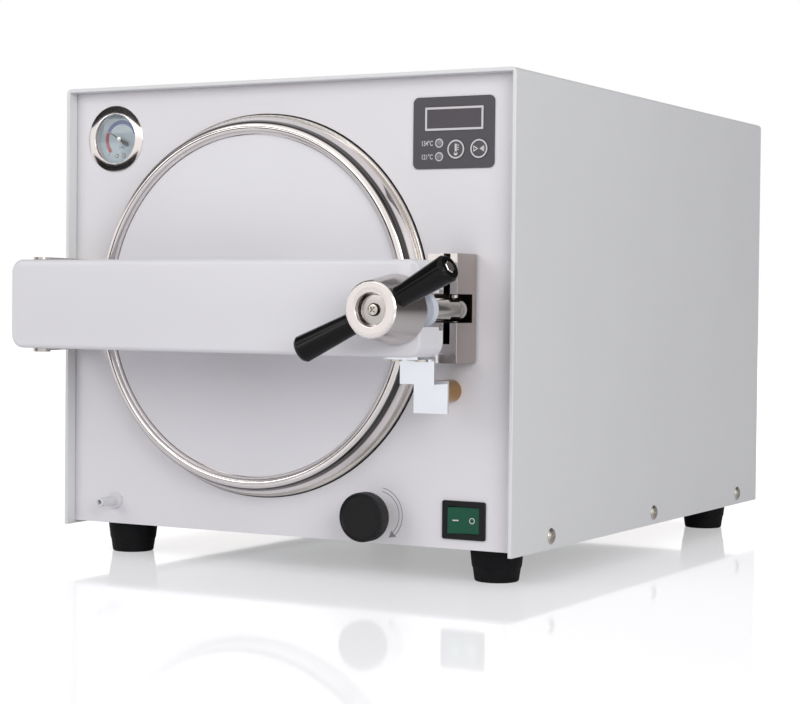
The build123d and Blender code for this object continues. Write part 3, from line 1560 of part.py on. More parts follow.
def build_nodes():
    """Every piece under its node name."""
    return {
        "outer_cover": outer_cover(),
        "cover_screws": cover_screws(),
        "front_panel": front_panel(),
        "base_plate": base_plate(),
        "rear_panel": rear_panel(),
        "rubber_feet": feet(),
        "chamber_shell": chamber_shell(),
        "chamber_flange": chamber_flange(),
        "insulation_jacket": insulation_jacket(),
        "band_heaters": band_heaters(),
        "chamber_saddles": chamber_saddles(),
        "tray_rack": tray_rack(),
        "instrument_trays": trays(),
        "keeper_block": keeper_block(),
        "mounting_bolts": mounting_bolts(),
        "hinge_bracket": hinge_bracket(),
        "hinge_pin": hinge_pin(),
        "gauge_case": gauge_case(),
        "gauge_bezel": gauge_bezel(),
        "gauge_dial": gauge_dial(),
        "gauge_lens": gauge_lens(),
        "gauge_needle": gauge_needle(),
        "copper_tubes": copper_tubes(),
        "drain_nozzle": drain_nozzle(),
        "valve_body": valve_body(),
        "valve_stem": valve_stem(),
        "valve_knob": valve_knob(),
        "safety_valve": safety_valve(),
        "safety_ring": safety_ring(),
        "control_film": control_film(),
        "control_board": control_board(),
        "display_window": display_window(),
        "led_lamps": led_lamps(),
        "temperature_button": panel_button(temperature_button_dx),
        "start_button": panel_button(start_button_dx),
        "switch_housing": switch_housing(),
        "switch_rocker": switch_rocker(),
        "power_inlet": power_inlet(),
        "fuse_holder": fuse_holder(),
        "transformer": transformer(),
        "sensor_body": sensor_body(),
        "sensor_plunger": sensor_plunger(),
        "door_arm": door_arm(),
        "arm_back_cover": arm_back_cover(),
        "door_spindle": door_spindle(),
        "door_lid": door_lid(),
        "door_face": door_face(),
        "door_gasket": door_gasket(),
        "stepped_plate": stepped_plate(),
        "door_screws": door_screws(),
        "swing_bolt": swing_bolt(),
        "pivot_pin": pivot_pin(),
        "nylon_washer": nylon_washer(),
        "thrust_ring": thrust_ring(),
        "handle_hub": handle_hub(),
        "handle_studs": handle_studs(),
        "handle_grips": handle_grips(),
        "grip_nuts": grip_nuts(),
        "retaining_washer": retaining_washer(),
        "retaining_screw": retaining_screw(),
    }


def bounding_shift(nodes):
    """Move that puts the origin at the bottom centre of the whole model's box."""
    boxes = [shape.bounding_box() for shape in nodes.values()]
    x = (min(b.min.X for b in boxes) + max(b.max.X for b in boxes)) / 2
    y = (min(b.min.Y for b in boxes) + max(b.max.Y for b in boxes)) / 2
    return Pos(-x, -y, -min(b.min.Z for b in boxes))


nodes = build_nodes()
shift = bounding_shift(nodes)
os.makedirs("parts", exist_ok=True)
for name, shape in nodes.items():
    export_step(shift * shape, f"parts/{name}.step")
print("moved by", shift.position)
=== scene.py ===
import logging
import math
from collections.abc import Callable
from dataclasses import dataclass, replace
from enum import Enum

import bmesh
import bpy
import numpy as np
from mathutils import Matrix, Vector


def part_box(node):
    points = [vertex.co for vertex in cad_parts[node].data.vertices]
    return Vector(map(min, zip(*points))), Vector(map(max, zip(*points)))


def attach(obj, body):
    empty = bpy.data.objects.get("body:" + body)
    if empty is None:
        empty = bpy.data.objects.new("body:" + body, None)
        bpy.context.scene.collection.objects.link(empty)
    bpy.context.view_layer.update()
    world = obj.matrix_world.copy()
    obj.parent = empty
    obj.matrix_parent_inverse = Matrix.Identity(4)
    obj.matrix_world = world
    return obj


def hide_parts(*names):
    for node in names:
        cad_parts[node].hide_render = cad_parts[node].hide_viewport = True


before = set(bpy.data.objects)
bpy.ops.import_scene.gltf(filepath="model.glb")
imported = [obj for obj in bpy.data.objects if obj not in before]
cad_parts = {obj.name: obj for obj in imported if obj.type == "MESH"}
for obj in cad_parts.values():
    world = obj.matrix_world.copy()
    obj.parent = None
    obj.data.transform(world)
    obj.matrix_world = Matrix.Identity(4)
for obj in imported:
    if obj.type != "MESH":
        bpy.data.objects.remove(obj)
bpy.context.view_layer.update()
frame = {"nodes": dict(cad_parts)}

LOG = logging.getLogger("steriliser")
MM = 0.001
SHARP_ANGLE = math.radians(32)
PHOTO_WIDTH = 800
SENSOR_WIDTH = 36.0
# In millimetres: how far light sinks into soft plastic, how thick a print is, and its gap to
# what carries it.
LIGHT_DEPTH = 4.0
PRINT = 0.05
PRINT_GAP = 0.01

Pair = tuple[float, float]
Triple = tuple[float, float, float]
Quad = tuple[float, float, float, float]


def linear_colour(hex_code: str) -> Quad:
    """Turn an sRGB hex value into linear light.

    Args:
        hex_code: Six hex digits after a hash sign.

    Returns:
        Linear red, green and blue, and an alpha of 1.
    """
    shares = [int(hex_code[i:i + 2], 16) / 255 for i in (1, 3, 5)]
    light = [s / 12.92 if s <= 0.04045 else ((s + 0.055) / 1.055) ** 2.4 for s in shares]
    return (light[0], light[1], light[2], 1.0)


def add_node(tree: bpy.types.NodeTree, kind: str, settings: dict | None = None,
             links: dict | None = None, **properties) -> bpy.types.Node:
    """Add one node to a tree.

    Args:
        tree: The node tree.
        kind: Blender's name for the node.
        settings: Input socket name or index to a fixed value.
        links: Input socket name or index to the output socket that feeds it.
        properties: Properties of the node itself.

    Returns:
        The new node.
    """
    node = tree.nodes.new(kind)
    for key, value in properties.items():
        setattr(node, key, value)
    for key, value in (settings or {}).items():
        node.inputs[key].default_value = value
    for key, socket in (links or {}).items():
        tree.links.new(socket, node.inputs[key])
    return node


class Pattern(Enum):
    """How a surface was worked, which sets the direction of its fine marks."""

    SPRAYED = "sprayed"
    MOULDED = "moulded"
    BRUSHED_X = "brushed along X"
    BRUSHED_Z = "brushed along Z"
    TURNED_Y = "turned about an axis along Y"


EVEN = (1.0, 1.0, 1.0)
# Brushing draws the marks out 50 times along its own direction.
STRETCH = {Pattern.BRUSHED_X: (0.02, 1.0, 1.0), Pattern.BRUSHED_Z: (1.0, 1.0, 0.02)}


@dataclass(frozen=True)
class Finish:
    """A real surface: its stuff, its colour and the marks that making it left.

    Lengths are in millimetres. centre is a point on the axis of a turned piece, in metres, and
    crease is the radius and half the width of a ring on it darkened as painted shade, in a crease.
    """

    name: str
    slot: str
    colour: str
    metallic: float = 0.0
    roughness: float = 0.4
    ior: float = 1.5
    pattern: Pattern = Pattern.MOULDED
    grain: float = 1.0
    grain_height: float = 0.005
    mottle: float = 0.03
    mottle_size: float = 60.0
    smudge: float = 0.05
    sheen: float = 0.0
    subsurface: float = 0.0
    transmission: float = 0.0
    specular: float = 0.5
    # A ring about the axis that is darkened as painted shade, standing in for the shade in a
    # crease.
    crease: Pair = (0.0, 0.0)
    centre: Triple = (0.0, 0.0, 0.0)

    def turned_about(self, centre: Triple) -> "Finish":
        """Give the same finish with its rings centred on a piece's own axis."""
        label = "_".join(str(round(value / MM)) for value in centre)
        return replace(self, name=f"{self.name}_{label}", centre=centre, pattern=Pattern.TURNED_Y)

    def material(self) -> bpy.types.Material:
        """Build the node material once and hand out the same one after that.

        Returns:
            The material.
        """
        known = bpy.data.materials.get(self.name)
        if known:
            return known
        material = bpy.data.materials.new(self.name)
        material.use_nodes = True
        tree = material.node_tree
        tree.nodes.clear()
        where = add_node(tree, "ShaderNodeTexCoord").outputs["Object"]
        shader = add_node(tree, "ShaderNodeBsdfPrincipled", self.fixed_inputs())
        output = add_node(tree, "ShaderNodeOutputMaterial")
        tree.links.new(shader.outputs[0], output.inputs[0])
        self.wire_colour(tree, shader, where)
        self.wire_roughness(tree, shader, where)
        self.wire_bump(tree, shader, where)
        return material

    def fixed_inputs(self) -> dict:
        """Values that are the same all over the surface, for the shader's own sockets.

        Returns:
            Socket name to value.
        """
        values = {"Metallic": self.metallic, "Sheen Weight": self.sheen,
                  "Subsurface Weight": self.subsurface,
                  "Transmission Weight": self.transmission,
                  "Specular IOR Level": self.specular}
        if not self.metallic:
            values["IOR"] = self.ior
        if self.subsurface:
            values["Subsurface Radius"] = (LIGHT_DEPTH * MM,) * 3
            values["Subsurface Scale"] = 0.5
        return values

    def noise(self, tree: bpy.types.NodeTree, where: bpy.types.NodeSocket, size: float,
              stretch: Triple, detail: float) -> bpy.types.NodeSocket:
        """Smooth random pattern whose blotches are about size millimetres across.

        Args:
            tree: The material's node tree.
            where: Socket of the point's place on the object, in metres.
            size: Width of a blotch, in millimetres.
            stretch: Scale of the place along X, Y and Z; a small one draws the blotches out.
            detail: How many finer layers lie on top.

        Returns:
            Socket of the pattern, from 0 to 1.
        """
        mapped = add_node(tree, "ShaderNodeMapping", {"Scale": stretch}, {"Vector": where})
        settings = {"Scale": 1 / (size * MM), "Detail": detail, "Roughness": 0.55}
        return add_node(tree, "ShaderNodeTexNoise", settings,
                        {"Vector": mapped.outputs[0]}).outputs["Fac"]

    def radius(self, tree: bpy.types.NodeTree,
               where: bpy.types.NodeSocket) -> bpy.types.NodeSocket:
        """Distance from the axis along Y through centre: the length of the offset in X and Z.

        Args:
            tree: The material's node tree.
            where: Socket of the point's place on the object, in metres.

        Returns:
            Socket of the distance, in metres.
        """
        offset = add_node(tree, "ShaderNodeVectorMath", {1: self.centre}, {0: where},
                          operation="SUBTRACT")
        flat = add_node(tree, "ShaderNodeVectorMath", {1: (1.0, 0.0, 1.0)},
                        {0: offset.outputs[0]}, operation="MULTIPLY")
        return add_node(tree, "ShaderNodeVectorMath", None, {0: flat.outputs[0]},
                        operation="LENGTH").outputs["Value"]

    def wire_colour(self, tree: bpy.types.NodeTree, shader: bpy.types.Node,
                    where: bpy.types.NodeSocket) -> None:
        """Vary the colour slightly between a darker and a lighter tone, and paint shade on a ring.

        Args:
            tree: The material's node tree.
            shader: The principled shader.
            where: Socket of the point's place on the object, in metres.
        """
        base = np.array(linear_colour(self.colour)[:3])
        ramp = add_node(tree, "ShaderNodeValToRGB", None,
                        {"Fac": self.noise(tree, where, self.mottle_size, EVEN, 2.0)})
        ends = ramp.color_ramp.elements
        ends[0].position, ends[1].position = 0.3, 0.7
        ends[0].color = (*np.clip(base * (1 - self.mottle), 0, 1), 1)
        ends[1].color = (*np.clip(base * (1 + self.mottle), 0, 1), 1)
        colour = ramp.outputs[0]
        # Painted shade: the colour falls to a tenth on a ring about the axis, for the shade in a
        # crease.
        if self.crease[1]:
            reach, half = self.crease
            away = add_node(tree, "ShaderNodeMath", {1: reach * MM},
                            {0: self.radius(tree, where)}, operation="SUBTRACT")
            away = add_node(tree, "ShaderNodeMath", None, {0: away.outputs[0]},
                            operation="ABSOLUTE")
            shade_factor = add_node(tree, "ShaderNodeMapRange",
                             {"From Min": half * MM * 0.5, "From Max": half * MM, "To Min": 0.1},
                             {"Value": away.outputs[0]}, interpolation_type="SMOOTHSTEP")
            painted_shade = add_node(tree, "ShaderNodeVectorMath", None,
                             {0: colour, "Scale": shade_factor.outputs[0]}, operation="SCALE")
            colour = painted_shade.outputs[0]
        tree.links.new(colour, shader.inputs["Base Color"])

    def wire_roughness(self, tree: bpy.types.NodeTree, shader: bpy.types.Node,
                       where: bpy.types.NodeSocket) -> None:
        """Vary the gloss as handling and polishing do.

        Args:
            tree: The material's node tree.
            shader: The principled shader.
            where: Socket of the point's place on the object, in metres.
        """
        cloud = self.noise(tree, where, self.mottle_size * 0.4,
                           STRETCH.get(self.pattern, EVEN), 3.0)
        level = add_node(tree, "ShaderNodeMapRange",
                         {"To Min": max(self.roughness - self.smudge, 0.02),
                          "To Max": self.roughness + self.smudge}, {"Value": cloud})
        tree.links.new(level.outputs[0], shader.inputs["Roughness"])

    def wire_bump(self, tree: bpy.types.NodeTree, shader: bpy.types.Node,
                  where: bpy.types.NodeSocket) -> None:
        """Raise the fine marks: blotches, brush lines or rings round the axis.

        Args:
            tree: The material's node tree.
            shader: The principled shader.
            where: Socket of the point's place on the object, in metres.
        """
        if self.pattern is Pattern.TURNED_Y:
            depth = add_node(tree, "ShaderNodeSeparateXYZ", None, {0: where})
            along = add_node(tree, "ShaderNodeMath", None,
                             {0: self.radius(tree, where), 1: depth.outputs["Y"]},
                             operation="ADD")
            marks = add_node(tree, "ShaderNodeTexNoise",
                             {"Scale": 1 / (self.grain * MM), "Detail": 2.0},
                             {"W": along.outputs[0]}, noise_dimensions="1D").outputs["Fac"]
        else:
            marks = self.noise(tree, where, self.grain, STRETCH.get(self.pattern, EVEN), 2.0)
        bump = add_node(tree, "ShaderNodeBump",
                        {"Strength": 1.0, "Distance": self.grain_height * MM}, {"Height": marks})
        tree.links.new(bump.outputs[0], shader.inputs["Normal"])


# Polyester powder coat on steel sheet: nearly white, half gloss, with the faint orange peel of
# melted powder. The peel is drawn at 2 mm, coarser than life, so that it shows.
POWDER_COAT = Finish("polyester_powder_coat", "white_enamel", "#E4E2E6", roughness=0.36,
                     pattern=Pattern.SPRAYED, grain=2.0, grain_height=0.006, mottle=0.012,
                     mottle_size=160.0, smudge=0.03)
# The same coat on the arm and the door's disc, sprayed thicker and glossier.
GLOSS_COAT = replace(POWDER_COAT, name="gloss_powder_coat", roughness=0.26, colour="#E0DFE3")
# The same coat on the outer cover, darker and more neutral as painted shade of its sides.
COVER_SHADE_COAT = replace(POWDER_COAT, name="cover_powder_coat_painted_shade", colour="#DFE0E1")
# Zinc-plated sheet: dull blue-grey with faint large spangle.
ZINC_PLATE = Finish("zinc_plated_sheet", "zinc_sheet", "#A9ADB0", metallic=1.0, roughness=0.42,
                    grain=4.0, grain_height=0.004, mottle=0.08, mottle_size=18.0)
# Mirror-polished stainless steel: hard reflections, very fine polishing waves.
MIRROR_STEEL = Finish("mirror_polished_stainless", "polished_steel", "#EAE5E3", metallic=1.0,
                      roughness=0.09, grain=6.0, grain_height=0.003, mottle=0.02, smudge=0.03)
# Ground stainless plate: as bright, a little cooler and softer.
GROUND_STEEL = replace(MIRROR_STEEL, name="ground_stainless", colour="#EDF2F9", roughness=0.16)
# The same steel on the hub's cone, turned and only buffed, so softer; its greyer colour is
# painted shade.
BUFFED_SHADED_STEEL = replace(MIRROR_STEEL, name="buffed_stainless_painted_shade", colour="#C6C0BE", roughness=0.22)
# Milled sides of a block, with lines along Z; their grey colour is painted shade. The same
# steel near black is painted shade inside its slot and its groove.
MILLED_SHADED_STEEL = Finish("milled_stainless_painted_shade", "polished_steel", "#B5ACA8", metallic=1.0,
                      roughness=0.36, pattern=Pattern.BRUSHED_Z, grain=0.8, grain_height=0.004)
SLOT_SHADE_STEEL = replace(MILLED_SHADED_STEEL, name="slot_painted_shade", colour="#2E2926")
# The same near black as painted shade on a screw's faces that do not face along Y, in its recess.
SCREW_RECESS_SHADE = replace(SLOT_SHADE_STEEL, name="screw_recess_painted_shade", slot="turned_steel")
# Turned stainless steel: rings left by the tool, drawn at 0.5 mm so that they show.
TURNED_STEEL = Finish("turned_stainless", "turned_steel", "#C6C2BD", metallic=1.0, roughness=0.2,
                      grain=0.5, grain_height=0.002, mottle=0.03, smudge=0.05)
# Brushed stainless sheet, lines along X.
BRUSHED_STEEL = Finish("brushed_stainless", "chamber_steel", "#BFBDBA", metallic=1.0, roughness=0.3,
                       pattern=Pattern.BRUSHED_X, grain=0.6, grain_height=0.003)
# Nickel-plated screws: bright, slightly warm.
NICKEL = Finish("nickel_plate", "turned_steel", "#CFCBC2", metallic=1.0, roughness=0.16,
                grain=1.5, grain_height=0.002)
# Free-cutting brass, turned: yellow with tool rings.
BRASS = Finish("turned_brass", "brass", "#B08A5A", metallic=1.0, roughness=0.2, grain=0.5,
               grain_height=0.002, mottle=0.06, mottle_size=8.0)
# Drawn copper tube, darkened a little in patches.
COPPER = Finish("drawn_copper", "copper", "#B8704C", metallic=1.0, roughness=0.28, mottle=0.15,
                mottle_size=25.0)
# Phenolic resin, compression moulded and buffed: deep black with a hard gloss.
BAKELITE = Finish("phenolic_resin", "black_bakelite", "#0A0A0C", roughness=0.2, ior=1.5,
                  grain=3.0, grain_height=0.006, mottle=0.2, smudge=0.05, specular=0.2)
# ABS with a fine spark-eroded texture: charcoal, no hard highlight.
BLACK_ABS = Finish("textured_abs", "black_plastic", "#151517", roughness=0.42, ior=1.54,
                   grain=0.6, grain_height=0.012, mottle=0.1, specular=0.2)
# Nitrile rubber, moulded: black, dull, faintly dusty.
RUBBER = Finish("nitrile_rubber", "black_rubber", "#0D0D10", roughness=0.62, grain=0.9,
                grain_height=0.02, mottle=0.25, mottle_size=12.0, sheen=0.03, specular=0.2)
# Silicone rubber of the gasket: milky and soft.
SILICONE = Finish("silicone_rubber", "white_silicone", "#DDDBD6", roughness=0.45, subsurface=0.1,
                  grain=2.0, grain_height=0.004)
# White lacquer on the dial's rivet heads, as milky as the rubber.
RIVET_LACQUER = replace(SILICONE, name="white_rivet_lacquer")
# Nylon 6, turned from bar: bluish white, light sinks in.
NYLON = Finish("nylon_bar", "nylon", "#D3D9E4", roughness=0.34, ior=1.53, subsurface=0.2,
               grain=0.5, grain_height=0.002, mottle=0.02)
# The same plastic moulded, of the drain nozzle: greyer.
MOULDED_NYLON = replace(NYLON, name="nozzle_polyamide", colour="#D9D9DC", slot="turned_steel")
# Screen-printed polyester film: charcoal, satin, with a very fine tooth.
FILM = Finish("printed_polyester_film", "film", "#565358", roughness=0.4, grain=0.5,
              grain_height=0.003, mottle=0.02, specular=0.2)
# The film's tinted window, smoother, and the film over a key, stretched into a low dome.
FILM_WINDOW = replace(FILM, name="tinted_window", colour="#524E53", roughness=0.22)
FILM_KEY = replace(FILM, name="domed_key_film", colour="#585559", roughness=0.36)
# Pale and mid grey screen inks, matt, laid on a few hundredths of a millimetre thick.
PALE_INK = Finish("pale_screen_ink", "film", "#CFCCCE", roughness=0.5, grain=0.4,
                  grain_height=0.003)
GREY_INK = replace(PALE_INK, name="grey_panel_ink", colour="#8F8E92")
# Inks of the dial: matt, without grain at this size.
BLUE_INK = Finish("blue_dial_ink", "dial_print", "#2F4FA3", roughness=0.5, mottle=0.04)
RED_INK = replace(BLUE_INK, name="red_dial_ink", colour="#C0444E")
DARK_INK = replace(BLUE_INK, name="dark_dial_ink", colour="#23252C")
FAINT_INK = replace(BLUE_INK, name="pale_blue_dial_ink", colour="#7F93BC")
# Painted aluminium dial: pale blue-grey, matt.
DIAL = Finish("painted_aluminium_dial", "dial_print", "#CFDCE4", roughness=0.55, grain=0.8,
              grain_height=0.003, mottle=0.02)
# Black lacquer on the stamped aluminium needle.
NEEDLE = Finish("black_lacquered_needle", "needle_black", "#101522", roughness=0.35, mottle=0.1)
# Window glass, clear and thin.
GLASS = Finish("float_glass", "gauge_glass", "#F7FBFC", roughness=0.02, ior=1.5, transmission=1.0,
               mottle=0.0, grain=40.0, grain_height=0.002, smudge=0.0)
# Polycarbonate rocker, dyed green: glossy, a little light comes through.
GREEN_PC = Finish("green_polycarbonate", "green_plastic", "#084E38", roughness=0.14, ior=1.58,
                  subsurface=0.05, grain=5.0, grain_height=0.003, specular=0.25)
# Epoxy of a lamp with a diffuser stirred in: grey while it is off.
LAMP = Finish("diffused_lamp_epoxy", "lamp_lens", "#7C797D", roughness=0.3, ior=1.55,
              subsurface=0.1, mottle=0.4, mottle_size=1.2)
# Mineral wool felt: straw grey, loose fibres.
MINERAL_WOOL = Finish("mineral_wool", "mineral_wool", "#CFC7AA", roughness=0.95, grain=1.5,
                      grain_height=0.4, mottle=0.2, mottle_size=9.0, sheen=0.3)
# Epoxy glass board with green solder mask.
BOARD = Finish("solder_masked_board", "circuit_board", "#0E4B26", roughness=0.3, mottle=0.12,
               mottle_size=6.0)
# Varnished transformer iron.
IRON = Finish("varnished_laminations", "transformer_iron", "#3A3735", roughness=0.4, mottle=0.2,
              pattern=Pattern.BRUSHED_Z, grain=0.6, grain_height=0.03)


@dataclass(frozen=True)
class Layout:
    """Where the working frame lies: X 0 on the casing's centre, Y 0 at the cover's front edge."""

    shift: Triple

    @classmethod
    def from_cover(cls) -> "Layout":
        """Read the frame from the outer cover."""
        low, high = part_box("outer_cover")
        return cls(((low.x + high.x) / 2 / MM, low.y / MM, 0.0))

    def metres(self, points: np.ndarray) -> np.ndarray:
        """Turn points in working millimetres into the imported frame's metres."""
        return (np.asarray(points, float) + np.array(self.shift)) * MM


@dataclass(frozen=True)
class TurnAxis:
    """An axis to turn a profile about: a point in working millimetres and a direction."""

    origin: Triple
    direction: Triple = (0.0, 1.0, 0.0)

    def base(self) -> tuple[np.ndarray, np.ndarray, np.ndarray]:
        """Give two directions square to the axis, and the axis itself.

        Returns:
            Three unit vectors, each square to the others.
        """
        along = np.array(self.direction, float)
        along /= np.linalg.norm(along)
        helper = np.array((0.0, 0.0, 1.0)) if abs(along[2]) < 0.9 else np.array((1.0, 0.0, 0.0))
        across = np.cross(helper, along)
        across /= np.linalg.norm(across)
        return across, np.cross(along, across), along


def grid_quads(rows: int, columns: int, wrap_rows: bool) -> np.ndarray:
    """Corner numbers of the quads of a grid whose columns close on themselves.

    Point (i, j) has the number i columns + j, and a quad joins it to its next neighbours.

    Args:
        rows: Points along the profile.
        columns: Steps round the axis.
        wrap_rows: Whether the last row joins the first.

    Returns:
        An array of corner numbers, four columns.
    """
    last = rows if wrap_rows else rows - 1
    i, j = np.meshgrid(np.arange(last), np.arange(columns), indexing="ij")
    down = (i + 1) % rows
    right = (j + 1) % columns
    corners = (i * columns + j, i * columns + right, down * columns + right, down * columns + j)
    return np.stack([c.ravel() for c in corners], axis=1)


def rounded(points: list[Pair], radii: dict[int, float], steps: int = 6,
            closed: bool = False) -> np.ndarray:
    """Round chosen corners of a profile.

    Each corner is replaced by a circular arc that touches both its sides: the arc's centre lies
    on the corner's bisector at radius / sin(half angle).

    Args:
        points: The profile's corners, as radius and height.
        radii: Corner number to arc radius.
        steps: Points on each arc, less one.
        closed: Whether the last corner joins the first.

    Returns:
        An array of points, two columns.
    """
    corners = np.array(points, float)
    count = len(corners)
    pieces = []
    for index in range(count):
        radius = radii.get(index, 0.0)
        if radius <= 0 or (not closed and index in (0, count - 1)):
            pieces.append(corners[index:index + 1])
            continue
        here = corners[index]
        back = corners[index - 1] - here
        ahead = corners[(index + 1) % count] - here
        back_unit = back / np.linalg.norm(back)
        ahead_unit = ahead / np.linalg.norm(ahead)
        half = math.acos(float(np.clip(back_unit @ ahead_unit, -1, 1))) / 2
        reach = radius / math.tan(half)
        middle = (back_unit + ahead_unit) / np.linalg.norm(back_unit + ahead_unit)
        centre = here + middle * radius / math.sin(half)
        start = here + back_unit * reach - centre
        end = here + ahead_unit * reach - centre
        first = math.atan2(start[1], start[0])
        sweep = math.atan2(end[1], end[0]) - first
        sweep = (sweep + math.pi) % (2 * math.pi) - math.pi
        angles = first + sweep * np.linspace(0, 1, steps + 1)
        pieces.append(centre + radius * np.stack([np.cos(angles), np.sin(angles)], axis=1))
    return np.concatenate(pieces)


def mesh_object(name: str, vertices: np.ndarray, faces: list[list[int]],
                merge: float = 0.0) -> bpy.types.Object:
    """Make a linked object from vertices in metres, with its faces outwards.

    Args:
        name: The object's name.
        vertices: Points in metres, three columns.
        faces: Lists of vertex numbers.
        merge: Distance in metres within which vertices are joined, or 0.

    Returns:
        The object, smooth but for edges sharper than SHARP_ANGLE.
    """
    mesh = bpy.data.meshes.new(name)
    mesh.from_pydata(vertices.tolist(), [], faces)
    tidy_mesh(mesh, merge)
    piece = bpy.data.objects.new(name, mesh)
    bpy.context.scene.collection.objects.link(piece)
    return piece


def tidy_mesh(mesh: bpy.types.Mesh, merge: float = 0.0, flatten: bool = False) -> None:
    """Join doubles, join flat faces if asked, point faces outwards and shade by angle.

    Args:
        mesh: The mesh, changed in place.
        merge: Distance in metres within which vertices are joined, or 0.
        flatten: Whether faces in one plane become one face.
    """
    work = bmesh.new()
    work.from_mesh(mesh)
    if merge:
        bmesh.ops.remove_doubles(work, verts=work.verts, dist=merge)
    if flatten:
        bmesh.ops.dissolve_limit(work, angle_limit=math.radians(0.4), verts=work.verts,
                                 edges=work.edges)
    bmesh.ops.recalc_face_normals(work, faces=work.faces)
    work.to_mesh(mesh)
    work.free()
    mesh.shade_smooth()
    mesh.set_sharp_from_angle(angle=SHARP_ANGLE)


def lathe_arrays(profile: np.ndarray, axis: TurnAxis, segments: int,
                 closed: bool) -> tuple[np.ndarray, list[list[int]]]:
    """Turn a profile about an axis.

    A point of radius r and height h at angle t goes to O + r cos(t) U + r sin(t) V + h W, with O
    the axis's origin, W along it and U and V square to it. A profile end on the axis becomes one
    pole vertex.

    Args:
        profile: Radius and height of each point.
        axis: The axis.
        segments: How many steps make a full turn.
        closed: Whether the profile's end joins its start, as on a ring.

    Returns:
        Vertices in working millimetres, and faces.
    """
    across, upward, along = axis.base()
    origin = np.array(axis.origin, float)
    start_pole = not closed and profile[0, 0] < 1e-6
    end_pole = not closed and profile[-1, 0] < 1e-6
    rings = profile[int(start_pole):len(profile) - int(end_pole)]
    turn = np.linspace(0, 2 * np.pi, segments, endpoint=False)
    spokes = np.cos(turn)[:, None] * across + np.sin(turn)[:, None] * upward
    points = origin + rings[:, 0, None, None] * spokes[None] + rings[:, 1, None, None] * along
    vertices = points.reshape(-1, 3)
    faces = grid_quads(len(rings), segments, closed).tolist()
    step = np.arange(segments)
    for is_pole, height, base in ((start_pole, profile[0, 1], 0),
                                  (end_pole, profile[-1, 1], (len(rings) - 1) * segments)):
        if is_pole:
            pole = len(vertices)
            vertices = np.vstack([vertices, origin + height * along])
            fan = np.stack([base + step, base + (step + 1) % segments, np.full(segments, pole)], 1)
            faces += fan.tolist()
    return vertices, faces


